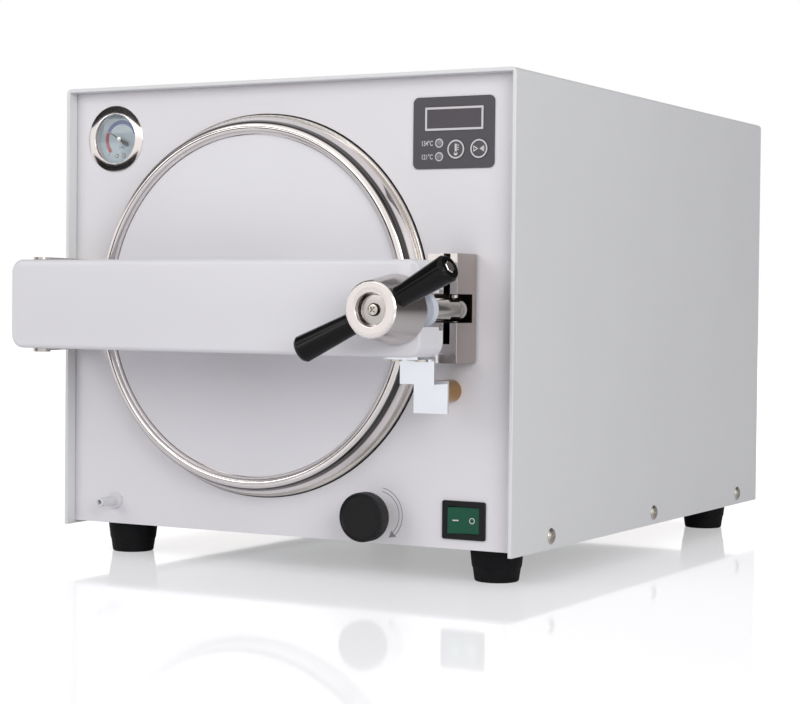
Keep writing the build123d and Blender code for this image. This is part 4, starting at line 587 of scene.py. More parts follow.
class SubAssembly:
    """A group of pieces that are built and dressed together."""

    def __init__(self, layout: Layout) -> None:
        """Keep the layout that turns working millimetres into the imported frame."""
        self.layout = layout

    def lathe(self, name: str, profile: np.ndarray, axes: list[TurnAxis], segments: int,
              closed: bool = False) -> bpy.types.Object:
        """Turn one profile about one or more axes into a single object.

        Args:
            name: The object's name.
            profile: Radius and height of each point.
            axes: The axes, one copy of the shape on each.
            segments: How many steps make a full turn.
            closed: Whether the profile's end joins its start.

        Returns:
            The object.
        """
        stacks, faces, offset = [], [], 0
        for axis in axes:
            vertices, own = lathe_arrays(profile, axis, segments, closed)
            stacks.append(vertices)
            faces += [[corner + offset for corner in face] for face in own]
            offset += len(vertices)
        return mesh_object(name, self.layout.metres(np.concatenate(stacks)), faces)

    def prism(self, name: str, outline: np.ndarray, front: float, thickness: float,
              holes: list[np.ndarray] | None = None) -> bpy.types.Object:
        """Make a thin plate square to Y from closed outlines in X and Z.

        A curve fills the outlines, so a hole is simply another outline inside the first.

        Args:
            name: The object's name.
            outline: Points in X and Z, in working millimetres.
            front: Y of the plate's front.
            thickness: The plate's thickness.
            holes: Outlines of holes.

        Returns:
            The object.
        """
        curve = bpy.data.curves.new(name, "CURVE")
        curve.dimensions, curve.fill_mode = "2D", "BOTH"
        curve.extrude = thickness / 2
        for loop in [outline] + (holes or []):
            spline = curve.splines.new("POLY")
            spline.points.add(len(loop) - 1)
            padded = np.column_stack([loop, np.zeros(len(loop)), np.ones(len(loop))])
            spline.points.foreach_set("co", padded.ravel())
            spline.use_cyclic_u = True
        return self.flat_piece(name, curve, (0.0, 0.0), front, thickness)

    def lettering(self, name: str, words: str, height: float, middle: Pair, front: float,
                  squeeze: float = 1.0, boldness: float = 0.0) -> bpy.types.Object:
        """Print plain numbers or signs on a face square to Y.

        Args:
            name: The object's name.
            words: The characters.
            height: Size of the type, in millimetres.
            middle: X and Z of their middle.
            front: Y of their front.
            squeeze: Share of their width that is kept.
            boldness: How much their strokes grow on each side, in millimetres.

        Returns:
            The object.
        """
        text = bpy.data.curves.new(name, "FONT")
        text.body, text.size = words, height
        text.align_x, text.align_y = "CENTER", "CENTER"
        text.extrude = PRINT / 2
        text.offset = boldness
        return self.flat_piece(name, text, middle, front, PRINT, squeeze)

    def flat_piece(self, name: str, curve: bpy.types.Curve, middle: Pair, front: float,
                   thickness: float, squeeze: float = 1.0) -> bpy.types.Object:
        """Turn a flat curve or text into a closed mesh standing square to Y.

        The curve's x and y become X and Z, and its depth runs along Y behind front.

        Args:
            name: The object's name.
            curve: The filled curve or text.
            middle: X and Z of the curve's origin.
            front: Y of the front.
            thickness: The depth along Y.
            squeeze: Share of the width that is kept.

        Returns:
            The object.
        """
        holder = bpy.data.objects.new(name + "_line", curve)
        bpy.context.scene.collection.objects.link(holder)
        flat = bpy.data.meshes.new_from_object(holder)
        count = len(flat.vertices)
        local = np.zeros(count * 3)
        flat.vertices.foreach_get("co", local)
        local = local.reshape(-1, 3)
        placed = np.column_stack([local[:, 0] * squeeze + middle[0],
                                  front + thickness / 2 - local[:, 2],
                                  local[:, 1] + middle[1]])
        faces = [list(polygon.vertices) for polygon in flat.polygons]
        bpy.data.objects.remove(holder)
        bpy.data.meshes.remove(flat)
        return mesh_object(name, self.layout.metres(placed), faces, merge=1e-7)

    def crisp_copy(self, node: str, bevel: float = 0.0, segments: int = 2) -> bpy.types.Object:
        """Copy a CAD node's mesh with its triangles joined and its edges softly broken.

        Args:
            node: The CAD node.
            bevel: Width of the broken edges, or 0.
            segments: Steps across each broken edge.

        Returns:
            The object.
        """
        mesh = frame["nodes"][node].data.copy()
        mesh.materials.clear()
        for layer in list(mesh.attributes):
            if layer.name == "custom_normal":
                mesh.attributes.remove(layer)
        tidy_mesh(mesh, merge=2e-6, flatten=bevel > 0)
        piece = bpy.data.objects.new(node + "_piece", mesh)
        bpy.context.scene.collection.objects.link(piece)
        if bevel:
            edge = piece.modifiers.new("broken_edges", "BEVEL")
            edge.width, edge.segments, edge.limit_method = bevel * MM, segments, "ANGLE"
            edge.angle_limit = SHARP_ANGLE
            edge.harden_normals = True
        return piece

    def turned_piece(self, name: str, node: str, body: str, finish: Finish,
                     profile: np.ndarray, axes: list[TurnAxis], segments: int,
                     closed: bool = True) -> bpy.types.Object:
        """Turn a profile about its axes and publish it in place of a CAD node.

        Args:
            name: The object's name.
            node: The CAD node that it stands for.
            body: The body that it rides on.
            finish: Its finish.
            profile: Radius and height of each point.
            axes: The axes.
            segments: How many steps make a full turn.
            closed: Whether the profile's end joins its start.

        Returns:
            The object.
        """
        piece = self.lathe(name, profile, axes, segments, closed)
        self.publish(piece, body, finish, node)
        return piece

    def print_flat(self, name: str, body: str, finish: Finish, outline: np.ndarray,
                   front: float, holes: list[np.ndarray] | None = None) -> None:
        """Print a flat sign: a thin prism with its front at a Y, published on a body."""
        self.publish(self.prism(name, outline, front, PRINT, holes), body, finish)

    def publish(self, piece: bpy.types.Object, body: str, finish: Finish, *nodes: str) -> None:
        """Give a piece its finish and its body, and hide the CAD nodes that it stands for.

        Args:
            piece: The object.
            body: The body that it rides on.
            finish: Its finish.
            nodes: CAD nodes that it stands for, if any.
        """
        piece.data.materials.clear()
        piece.data.materials.append(finish.material())
        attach(piece, body)
        if nodes:
            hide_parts(*nodes)
        LOG.info("%s: %s on %s", piece.name, finish.name, body)

    def second_finish(self, piece: bpy.types.Object, finish: Finish,
                      chosen: Callable[[Triple, Triple], bool]) -> None:
        """Give some faces of a piece another finish of the same slot.

        Args:
            piece: A published piece.
            finish: The finish for the chosen faces.
            chosen: Test of a face by its centre, in working millimetres, and its outward normal.
        """
        piece.data.materials.append(finish.material())
        last = len(piece.data.materials) - 1
        for polygon in piece.data.polygons:
            middle = tuple(polygon.center[k] / MM - self.layout.shift[k] for k in range(3))
            if chosen(middle, tuple(polygon.normal)):
                polygon.material_index = last

    def publish_copies(self, body: str, table: dict[str, tuple[Finish, float]]) -> None:
        """Publish crisp copies of CAD nodes, each with its finish and its edge width."""
        for node, (finish, bevel) in table.items():
            self.publish(self.crisp_copy(node, bevel), body, finish, node)

    def centre(self, node: str) -> Triple:
        """The middle of a CAD node, in metres."""
        low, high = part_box(node)
        return tuple((low + high) / 2)


def circle_points(middle: Pair, radius: float, count: int = 64) -> np.ndarray:
    """Points of a circle: the middle plus radius times cosine and sine of equal steps."""
    turn = np.linspace(0, 2 * np.pi, count, endpoint=False)
    return np.array(middle) + radius * np.stack([np.cos(turn), np.sin(turn)], axis=1)


def arc_band(middle: Pair, inner: float, outer: float, start: float, end: float,
             count: int = 48) -> np.ndarray:
    """Outline of a band along a circle from one angle to another, in degrees.

    Out along the outer radius and back along the inner one.

    Args:
        middle: The circle's centre.
        inner: The band's inner radius.
        outer: Its outer radius.
        start: The first angle, in degrees.
        end: The last angle.
        count: Points on each side.

    Returns:
        An array of points, two columns.
    """
    turn = np.radians(np.linspace(start, end, count))
    spokes = np.stack([np.cos(turn), np.sin(turn)], axis=1)
    return np.array(middle) + np.concatenate([outer * spokes, inner * spokes[::-1]])


def rounded_rectangle(middle: Pair, width: float, height: float, radius: float) -> np.ndarray:
    """Outline of a rectangle with round corners.

    Args:
        middle: Its centre.
        width: Its size along X.
        height: Its size along Z.
        radius: Radius of the corners, or 0.

    Returns:
        An array of points, two columns.
    """
    corners = [(-width / 2, -height / 2), (width / 2, -height / 2), (width / 2, height / 2),
               (-width / 2, height / 2)]
    if radius <= 0:
        return np.array(middle) + np.array(corners)
    return np.array(middle) + rounded(corners, dict.fromkeys(range(4), radius), closed=True)


@dataclass(frozen=True)
class CasingSizes:
    """Sizes of the casing's own pieces, in millimetres."""

    foot_top: float = 21.0
    foot_waist: float = 19.0
    foot_lower: float = 18.3
    foot_bottom: float = 16.8
    foot_seam: float = 10.0
    foot_recess: Pair = (8.0, 9.0)
    foot_x: float = 170.0
    foot_y: Pair = (48.0, 488.0)


class Casing(SubAssembly):
    """Cover, panels, feet, screws and the fittings on the back."""

    sizes = CasingSizes()

    def build(self) -> None:
        """Build and dress the casing."""
        self.publish_copies("casing", {
            # Painted shade: the cover's coat is darker and more neutral than the panels'.
            "outer_cover": (COVER_SHADE_COAT, 0.0),
            "front_panel": (POWDER_COAT, 0.25),
            "rear_panel": (POWDER_COAT, 0.25),
            "base_plate": (ZINC_PLATE, 0.0),
            "cover_screws": (NICKEL, 0.12),
            "mounting_bolts": (NICKEL, 0.0),
            "hinge_bracket": (TURNED_STEEL, 0.5),
            "hinge_pin": (TURNED_STEEL, 0.0),
            "safety_valve": (BRASS, 0.2),
            "power_inlet": (BLACK_ABS, 0.2),
            "fuse_holder": (BLACK_ABS, 0.2),
        })
        self.publish_copies("pull_ring", {"safety_ring": (NICKEL, 0.0)})
        self.feet()

    def feet(self) -> None:
        """Two-tier rubber feet with a rounded lower rim and the screw's recess."""
        s = self.sizes
        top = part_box("rubber_feet")[1].z / MM
        recess, depth = s.foot_recess
        corners = [(0, depth), (recess, depth), (recess, 0), (s.foot_bottom, 0),
                   (s.foot_lower, s.foot_seam), (s.foot_waist, s.foot_seam + 1.5),
                   (s.foot_top, top), (0, top)]
        profile = rounded(corners, {2: 0.6, 3: 1.5, 4: 0.8, 5: 0.4, 6: 1.0})
        axes = [TurnAxis((x, y, 0.0), (0.0, 0.0, 1.0)) for x in (-s.foot_x, s.foot_x)
                for y in s.foot_y]
        self.turned_piece("moulded_feet", "rubber_feet", "casing", RUBBER, profile, axes, 96, False)


@dataclass(frozen=True)
class DoorSizes:
    """Sizes of the door and the chamber's mouth, in millimetres."""

    centre: Pair = (-20.0, 206.0)
    flange_front: float = 8.0
    flange_outer: float = 149.5
    flange_inner: float = 127.0
    flange_back: float = 16.0
    lid_outer: float = 147.0
    lid_rear: float = 7.7
    shoulder: float = 143.5
    bead: float = 5.0
    # Radius and half width of the ring on the lid darkened as painted shade beside the bead.
    crease: Pair = (143.1, 1.6)
    plate_face: float = -3.5
    plate_back: float = 2.0
    rim_wall: float = 5.0
    disc_front: float = -5.0
    disc_outer: float = 133.2
    gasket: Pair = (126.5, 141.0)


class Door(SubAssembly):
    """Lid with its bead, painted disc, gasket, arm, hinge pieces and stepped plate."""

    sizes = DoorSizes()

    def build(self) -> None:
        """Build and dress the door and the chamber's mouth."""
        s = self.sizes
        axis = TurnAxis((s.centre[0], 0.0, s.centre[1]))
        about = self.centre("door_lid")
        # The lid's steel has a ring of painted shade in the crease beside its bead.
        steel = replace(MIRROR_STEEL, name="spun_and_polished_stainless", crease=s.crease)
        self.turned_piece("spun_lid", "door_lid", "door", steel.turned_about(about),
                          self.lid_profile(), [axis], 320, False)
        disc = rounded([(0, s.disc_front), (s.disc_outer, s.disc_front),
                        (s.disc_outer, s.plate_face), (0, s.plate_face)], {1: 0.9})
        self.turned_piece("painted_disc", "door_face", "door", GLOSS_COAT, disc, [axis], 256, False)
        flange = rounded([(s.flange_inner, s.flange_front), (s.flange_outer, s.flange_front),
                          (s.flange_outer, s.flange_back), (s.flange_inner, s.flange_back)],
                         {1: 0.9, 0: 0.4}, closed=True)
        self.turned_piece("mouth_flange", "chamber_flange", "casing",
                          TURNED_STEEL.turned_about(about), flange, [axis], 320)
        inner, outer = s.gasket
        lip = s.flange_front - 0.2
        ring = rounded([(inner, s.plate_back), (outer, s.plate_back), (outer, lip),
                        ((inner + outer) / 2, lip), (inner + 3, lip - 1.6), (inner, lip)],
                       {2: 1.0, 3: 1.0, 4: 1.0, 5: 0.8}, closed=True)
        self.turned_piece("lipped_gasket", "door_gasket", "door", SILICONE, ring, [axis], 256)
        self.publish_copies("door", {
            "door_arm": (GLOSS_COAT, 0.3),
            "arm_back_cover": (GLOSS_COAT, 0.3),
            "door_spindle": (TURNED_STEEL, 0.4),
            "stepped_plate": (GROUND_STEEL, 0.3),
            "door_screws": (NICKEL, 0.15),
        })

    def lid_profile(self) -> np.ndarray:
        """Section of the lid: flat plate, round bead, crease, flared wall and rim.

        The bead is a half circle from the plate's edge to the shoulder.

        Returns:
            Radius and height of each point.
        """
        s = self.sizes
        inner = s.shoulder - 2 * s.bead
        middle = s.shoulder - s.bead
        base = s.plate_face - s.bead / 5
        turn = np.linspace(np.pi, 2 * np.pi, 25)
        bead = np.stack([middle + s.bead * np.cos(turn), base + s.bead * np.sin(turn)], axis=1)
        front = np.array([(0, s.plate_face), (inner, s.plate_face)])
        wall = rounded([(s.shoulder, base + 0.4), (s.shoulder, s.plate_face),
                        (s.lid_outer, s.lid_rear - s.rim_wall), (s.lid_outer, s.lid_rear),
                        (s.lid_outer - s.rim_wall, s.lid_rear),
                        (s.lid_outer - s.rim_wall, s.plate_back), (0, s.plate_back)],
                       {2: 2.0, 3: 0.8, 4: 0.8, 5: 1.0})
        return np.concatenate([front, bead, wall])


@dataclass(frozen=True)
class LatchSizes:
    """Sizes of the swing bolt, its hub and its grips, in millimetres."""

    axis: Pair = (161.3, 205.1)
    hub_front: float = -133.4
    hub_rear: float = -97.0
    hub_front_radius: float = 20.0
    hub_rear_radius: float = 25.0
    recess: Pair = (11.75, 12.5)
    bore: float = 8.08
    ring_seat: Pair = (19.08, -98.38)
    washer: Pair = (10.5, 2.0)
    washer_depth: float = 5.7
    washer_hole: float = 2.5
    bolt_radius: float = 8.0
    nylon_radius: float = 13.4
    nylon_chamfer: float = 2.2
    nylon: Pair = (-65.2, -56.6)
    stud_y: float = -120.7
    stud_radius: float = 4.0
    tilt: float = 26.5
    lean: float = 7.0
    grip_start: float = 19.8
    grip_neck: Pair = (7.9, 24.3)
    grip_swell: Pair = (9.8, 63.5)
    grip_end: Pair = (8.0, 66.0)
    grip_recess: Pair = (5.6, 1.6)
    slot_z: float = 206.0
    slot_half: float = 10.6
    groove_half: float = 4.2
    polish_depth: float = 0.4


class Latch(SubAssembly):
    """Keeper block, swing bolt, washers, conical hub and the two grips."""

    sizes = LatchSizes()

    def build(self) -> None:
        """Build and dress the latch."""
        s = self.sizes
        axis = TurnAxis((s.axis[0], 0.0, s.axis[1]))
        about = tuple(self.layout.metres((s.axis[0], 0.0, s.axis[1])))
        depth = s.hub_front + s.recess[1]
        hub = rounded([(s.bore, depth), (s.recess[0], depth), (s.recess[0], s.hub_front),
                       (s.hub_front_radius - 1, s.hub_front),
                       (s.hub_front_radius, s.hub_front + 1),
                       (s.hub_rear_radius, s.hub_rear - 1), (s.hub_rear_radius - 1, s.hub_rear),
                       (s.ring_seat[0], s.hub_rear), s.ring_seat, (s.bore, s.ring_seat[1])],
                      {2: 0.5, 3: 0.5, 4: 0.6, 5: 0.6}, closed=True)
        cone = self.turned_piece("conical_hub", "handle_hub", "clamp_handle",
                                 MIRROR_STEEL.turned_about(about), hub, [axis], 192)
        # Painted shade: the cone's sides get a greyer copy of the hub's steel.
        self.second_finish(cone, BUFFED_SHADED_STEEL.turned_about(about),
                           lambda middle, normal: abs(normal[1]) < 0.5)
        radius, thickness = s.washer
        front = s.hub_front + s.washer_depth
        rear = front + thickness
        washer = rounded([(s.washer_hole, front), (radius, front), (radius, rear),
                          (s.washer_hole, rear)], {1: 0.5, 2: 0.3}, closed=True)
        self.turned_piece("plain_washer", "retaining_washer", "clamp_bolt",
                          TURNED_STEEL.turned_about(about), washer, [axis], 96)
        nylon = rounded([(s.bolt_radius, s.nylon[0]), (s.nylon_radius, s.nylon[0]),
                         (s.nylon_radius, s.nylon[1] - s.nylon_chamfer),
                         (s.nylon_radius - s.nylon_chamfer, s.nylon[1]),
                         (s.bolt_radius, s.nylon[1])], {1: 0.5, 2: 1.0, 3: 1.0}, closed=True)
        self.turned_piece("turned_nylon_washer", "nylon_washer", "clamp_bolt", NYLON, nylon,
                          [axis], 128)
        self.publish_copies("clamp_bolt", {
            "swing_bolt": (TURNED_STEEL.turned_about(about), 0.5),
            "pivot_pin": (NICKEL, 0.2),
        })
        screw = self.crisp_copy("retaining_screw", 0.1)
        self.publish(screw, "clamp_bolt", NICKEL, "retaining_screw")
        # Painted shade: the screw's faces that do not face along Y go near black.
        self.second_finish(screw, SCREW_RECESS_SHADE, lambda middle, normal: abs(normal[1]) < 0.85)
        self.keeper()
        self.publish_copies("thrust_plate", {"thrust_ring": (TURNED_STEEL, 0.2)})
        self.grips()

    def keeper(self) -> None:
        """Keeper block: polished front; milled sides, slot and groove darkened as painted shade."""
        s = self.sizes
        block = self.crisp_copy("keeper_block", 0.5)
        self.publish(block, "casing", MIRROR_STEEL, "keeper_block")
        # Painted shade: the side faces get a greyer copy of the steel.
        self.second_finish(block, MILLED_SHADED_STEEL, lambda middle, normal: abs(normal[0]) > 0.7)
        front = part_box("keeper_block")[0].y / MM - self.layout.shift[1] + s.polish_depth
        # Painted shade: the faces inside the slot and the front groove go near black.
        self.second_finish(block, SLOT_SHADE_STEEL, lambda middle, normal: (
            abs(middle[2] - s.slot_z) < s.slot_half and middle[1] > front
            and abs(normal[0]) < 0.9
            or abs(middle[0] - s.axis[0]) < s.groove_half and middle[1] > front))

    def grips(self) -> None:
        """Tapered grips on both sides of the hub, each with a chromed end nut.

        A grip's axis is (cos t cos l, -sin l, sin t cos l), with t its angle round the hub and l
        its lean towards the front.
        """
        s = self.sizes
        recess, depth = s.grip_recess
        floor = s.grip_end[1] - depth
        corners = [(s.stud_radius, s.grip_start), (s.grip_neck[0], s.grip_start), s.grip_neck,
                   s.grip_swell, s.grip_end, (recess, s.grip_end[1]), (recess, floor),
                   (s.stud_radius, floor)]
        profile = rounded(corners, {1: 0.6, 2: 12.0, 3: 1.4, 4: 0.7, 5: 0.4}, closed=True)
        lean = math.radians(s.lean)
        axes = []
        for angle in (s.tilt, s.tilt + 180):
            turn = math.radians(angle)
            way = (math.cos(turn) * math.cos(lean), -math.sin(lean),
                   math.sin(turn) * math.cos(lean))
            axes.append(TurnAxis((s.axis[0], s.stud_y, s.axis[1]), way))
        self.turned_piece("moulded_grips", "handle_grips", "clamp_handle", BAKELITE, profile,
                          axes, 96)
        self.publish_copies("clamp_handle", {
            "handle_studs": (NICKEL, 0.0),
            "grip_nuts": (MIRROR_STEEL, 0.3),
        })


@dataclass(frozen=True)
class GaugeSizes:
    """Sizes of the pressure gauge, in millimetres, and angles in degrees."""

    centre: Pair = (-162.7, 341.0)
    outer: float = 27.2
    inner: float = 20.1
    front: float = 9.4
    fall: float = 0.85
    back: float = 11.0
    throat: Pair = (22.0, 18.7)
    dial_front: float = 18.8
    dial_radius: float = 22.8
    dial_thickness: float = 0.8
    lens: Triple = (20.85, 10.6, 12.1)
    scale: Pair = (12.3, 15.4)
    blue_arc: Pair = (18.0, 153.0)
    red_arc: Pair = (155.0, 224.0)
    ticks: int = 13
    tick_angles: Pair = (224.0, -44.0)
    tick_reach: Triple = (0.4, 1.2, 1.6)
    tick_half: float = 0.6
    numbers: int = 5
    number_radius: float = 18.0
    number_height: float = 2.4
    unit: Pair = (3.0, 6.4)
    needle_angle: float = 150.0
    needle_front: float = 15.4
    hub_radius: float = 2.1
    tail: Triple = (2.6, 8.8, 3.0)
    dots: tuple[Pair, Pair] = ((-4.2, -12.8), (2.4, -12.6))
    dot: Triple = (1.6, 1.1, 0.25)


class Gauge(SubAssembly):
    """Bezel, dial with its printed scale, needle, lens and case."""

    sizes = GaugeSizes()

    def build(self) -> None:
        """Build and dress the gauge."""
        s = self.sizes
        axis = TurnAxis((s.centre[0], 0.0, s.centre[1]))
        about = self.centre("gauge_bezel")
        edge = s.front + s.fall
        bezel = rounded([(s.inner, s.front), (s.outer, edge), (s.outer, s.back),
                         (s.throat[0], s.back), s.throat, (s.inner, s.throat[1])],
                        {0: 0.3, 1: 0.4}, closed=True)
        chrome = replace(MIRROR_STEEL, name="chromed_bezel").turned_about(about)
        self.turned_piece("pressed_bezel", "gauge_bezel", "casing", chrome, bezel, [axis], 192)
        back = s.dial_front + s.dial_thickness
        dial = rounded([(0.6, s.dial_front), (s.dial_radius - 0.6, s.dial_front),
                        (s.dial_radius, s.dial_front + 0.3), (s.dial_radius, back), (0.6, back)],
                       {1: 0.3}, closed=True)
        self.turned_piece("painted_dial", "gauge_dial", "casing", DIAL, dial, [axis], 128)
        rim, lens_front, lens_back = s.lens
        lens = rounded([(0, lens_front), (rim, lens_front), (rim, lens_back), (0, lens_back)],
                       {1: 0.3, 2: 0.3})
        self.turned_piece("dial_glass", "gauge_lens", "casing", GLASS, lens, [axis], 96, False)
        self.publish_copies("pressure_needle", {"gauge_needle": (NEEDLE, 0.0)})
        self.publish_copies("casing", {"gauge_case": (ZINC_PLATE, 0.0)})
        self.needle_trim(axis)
        self.scale()

    def needle_trim(self, axis: TurnAxis) -> None:
        """Bright cap on the needle's hub and a broad tail that balances it."""
        s = self.sizes
        cap = rounded([(0, s.needle_front - 0.5), (s.hub_radius, s.needle_front - 0.5),
                       (s.hub_radius, s.needle_front + 0.3), (0, s.needle_front + 0.3)], {1: 0.4})
        self.publish(self.lathe("needle_cap", cap, [axis], 48), "pressure_needle", NICKEL)
        start, end, width = s.tail
        turn = math.radians(s.needle_angle + 180)
        along = np.array((math.cos(turn), math.sin(turn)))
        across = np.array((-along[1], along[0])) * width / 2
        outline = np.array(s.centre) + np.array([start * along - across, end * along - across,
                                                 end * along + across, start * along + across])
        self.publish(self.prism("needle_tail", outline, s.needle_front + 0.75, 0.6),
                     "pressure_needle", NEEDLE)

    def scale(self) -> None:
        """Print the blue and red bands, the ticks, plain numbers and the unit on the dial."""
        s = self.sizes
        ink = s.dial_front - PRINT - PRINT_GAP
        low, high = s.scale
        for name, finish, (start, end) in (("blue_band", BLUE_INK, s.blue_arc),
                                           ("red_band", RED_INK, s.red_arc)):
            self.print_flat(name, "casing", finish, arc_band(s.centre, low, high, start, end), ink)
        start, short, long = (high + reach for reach in s.tick_reach)
        for index, angle in enumerate(np.linspace(*s.tick_angles, s.ticks)):
            tick = arc_band(s.centre, start, short if index % 3 else long,
                            angle - s.tick_half, angle + s.tick_half, 3)
            self.print_flat(f"tick_{index}", "casing", FAINT_INK, tick, ink)
        for index, angle in enumerate(np.radians(np.linspace(*s.tick_angles, s.numbers))):
            spot = (s.centre[0] + s.number_radius * math.cos(angle),
                    s.centre[1] + s.number_radius * math.sin(angle))
            number = self.lettering(f"number_{index}", str(index), s.number_height, spot, ink)
            self.publish(number, "casing", FAINT_INK)
        height, drop = s.unit
        unit = self.lettering("unit", "MPa", height, (s.centre[0], s.centre[1] - drop), ink)
        self.publish(unit, "casing", FAINT_INK)
        ring_radius, head_radius, head_height = s.dot
        for index, place in enumerate(s.dots):
            spot = (s.centre[0] + place[0], s.centre[1] + place[1])
            self.print_flat(f"rivet_ring_{index}", "casing", DARK_INK,
                            circle_points(spot, ring_radius, 32), ink)
            head = self.prism(f"rivet_head_{index}", circle_points(spot, head_radius, 32),
                              ink - head_height, head_height)
            self.publish(head, "casing", RIVET_LACQUER)


@dataclass(frozen=True)
class FilmSizes:
    """Places on the control film, in millimetres from its lower left corner."""

    corner: Pair = (114.8, 309.9)
    face: float = 10.0
    frame: Quad = (34.7, 37.1, 49.3, 18.0)
    frame_line: float = 1.9
    frame_front: float = 9.4
    lamps: tuple[Pair, Pair] = ((22.1, 19.1), (22.1, 9.0))
    lamp_ring: Pair = (3.4, 2.3)
    number_height: float = 5.2
    number_squeeze: float = 0.74
    number_boldness: float = 0.06
    number_offset: Pair = (-10.2, -0.2)
    keys: tuple[Pair, Pair] = ((36.3, 14.2), (55.5, 14.2))
    key_ring: Pair = (7.0, 5.9)
    key_face: float = 9.5


class ControlFilm(SubAssembly):
    """Film, window, lamps and keys with their printed rings and signs."""

    sizes = FilmSizes()

    def spot(self, place: Pair) -> Pair:
        """X and Z of a place that is given from the film's corner."""
        return self.sizes.corner[0] + place[0], self.sizes.corner[1] + place[1]

    def build(self) -> None:
        """Build and dress the control film."""
        s = self.sizes
        self.publish_copies("casing", {
            "control_film": (FILM, 0.2),
            "display_window": (FILM_WINDOW, 0.1),
            "led_lamps": (LAMP, 0.0),
            "control_board": (BOARD, 0.0),
        })
        self.publish_copies("temperature_key", {"temperature_button": (FILM_KEY, 0.0)})
        self.publish_copies("start_key", {"start_button": (FILM_KEY, 0.0)})
        x, z, width, height = s.frame
        middle = self.spot((x, z))
        outer = rounded_rectangle(middle, width - 0.6, height - 0.6, 0.3)
        hole = rounded_rectangle(middle, width - 2 * s.frame_line, height - 2 * s.frame_line, 0.2)
        self.print_flat("window_border", "casing", PALE_INK, outer, s.frame_front, [hole])
        front = s.face - PRINT
        for index, (place, words) in enumerate(zip(s.lamps, ("134°C", "121°C"))):
            spot = self.spot(place)
            outer, hole = (circle_points(spot, radius) for radius in s.lamp_ring)
            self.print_flat(f"lamp_ring_{index}", "casing", PALE_INK, outer, front, [hole])
            middle = (spot[0] + s.number_offset[0], spot[1] + s.number_offset[1])
            number = self.lettering(f"lamp_number_{index}", words, s.number_height, middle,
                                    front, s.number_squeeze, s.number_boldness)
            self.publish(number, "casing", PALE_INK)
        front = s.key_face - PRINT
        for body, place, signs in (("temperature_key", s.keys[0], self.thermometer_sign),
                                   ("start_key", s.keys[1], self.flow_sign)):
            spot = self.spot(place)
            outer, hole = (circle_points(spot, radius) for radius in s.key_ring)
            self.print_flat(f"{body}_ring", body, PALE_INK, outer, front, [hole])
            for index, (outline, *holes) in enumerate(signs(spot)):
                self.print_flat(f"{body}_sign_{index}", body, PALE_INK, outline, front, holes)

    def thermometer_sign(self, spot: Pair) -> list[list[np.ndarray]]:
        """Bulb, stem and three short marks beside it.

        Args:
            spot: X and Z of the key's middle.

        Returns:
            The sign's shapes, each an outline and its holes.
        """
        x, z = spot
        marks = [[rounded_rectangle((x + 1.9, z + rise), 1.5, 0.6, 0.0)]
                 for rise in (-0.2, 1.4, 3.0)]
        stem = rounded_rectangle((x, z + 0.6), 1.7, 7.0, 0.6)
        return [[circle_points((x, z - 3.2), 1.5, 32)], [stem]] + marks

    def flow_sign(self, spot: Pair) -> list[list[np.ndarray]]:
        """Two hollow triangles tip to tip with a round body on the right one.

        Args:
            spot: X and Z of the key's middle.

        Returns:
            The sign's shapes, each an outline and its holes.
        """
        x, z = spot
        outer = np.array([(0.5, 0.0), (4.4, 2.4), (4.4, -2.4)])
        inner = np.array([(1.8, 0.0), (3.8, 1.2), (3.8, -1.2)])
        pieces = [[np.array(spot) + corners * (side, 1.0) for corners in (outer, inner)]
                  for side in (-1, 1)]
        return pieces + [[circle_points((x + 3.0, z), 0.8, 24)]]


@dataclass(frozen=True)
class SwitchSizes:
    """Places of the rocker's signs, in millimetres."""

    axis: Triple = (160.9, 12.0, 48.4)
    reach: float = 6.4
    ring: Pair = (2.3, 1.7)
    bar: Triple = (4.4, 0.9, 0.2)
    valley: float = 1.73
    slope: float = 2.6 / 12.3
    lean: float = 10.0


class MainsSwitch(SubAssembly):
    """Rocker switch with its frame and the usual bar and circle signs."""

    sizes = SwitchSizes()

    def build(self) -> None:
        """Build and dress the switch."""
        self.publish_copies("casing", {"switch_housing": (BLACK_ABS, 0.25)})
        self.publish_copies("mains_rocker", {"switch_rocker": (GREEN_PC, 0.4)})
        self.signs()

    def signs(self) -> None:
        """Put the bar on the left half and the circle on the right half.

        Each is made flat at Y 0, raised on to its half of the rocker, whose face stands valley
        plus slope times |x| in front of the axis, and turned with the rocker's lean.
        """
        s = self.sizes
        outer, hole = (circle_points((s.reach, 0.0), radius, 40) for radius in s.ring)
        ring = self.prism("circle_sign", outer, 0.0, PRINT, [hole])
        bar = self.prism("bar_sign", rounded_rectangle((-s.reach, 0.0), *s.bar), 0.0, PRINT)
        lean = math.radians(s.lean)
        for piece, side in ((ring, 1), (bar, -1)):
            count = len(piece.data.vertices)
            points = np.zeros(count * 3)
            piece.data.vertices.foreach_get("co", points)
            local = points.reshape(-1, 3) / MM - np.array(self.layout.shift)
            local[:, 1] -= s.valley + s.slope * side * local[:, 0]
            turned = np.column_stack([
                local[:, 0] * math.cos(lean) - local[:, 1] * math.sin(lean),
                local[:, 0] * math.sin(lean) + local[:, 1] * math.cos(lean), local[:, 2]])
            placed = self.layout.metres(turned + np.array(s.axis))
            piece.data.vertices.foreach_set("co", placed.ravel())
            piece.data.update()
            self.publish(piece, "mains_rocker", PALE_INK)


@dataclass(frozen=True)
class FluidSizes:
    """Sizes of the valve's hand knob and its printed arrow, in millimetres."""

    axis: Pair = (87.5, 48.5)
    front: float = -17.0
    rear: float = -4.0
    radius: float = 18.7
    face_radius: float = 16.8
    dish: float = 1.5
    flutes: int = 60
    flute_depth: float = 0.35
    bore: Pair = (3.5, 8.0)
    panel: float = 11.0
    arcs: tuple[Pair, Pair] = ((17.6, 18.2), (20.4, 21.0))
    arc_angles: Triple = (80.0, -46.0, -62.0)
    arrowhead: Triple = (16.2, 19.3, 22.4)


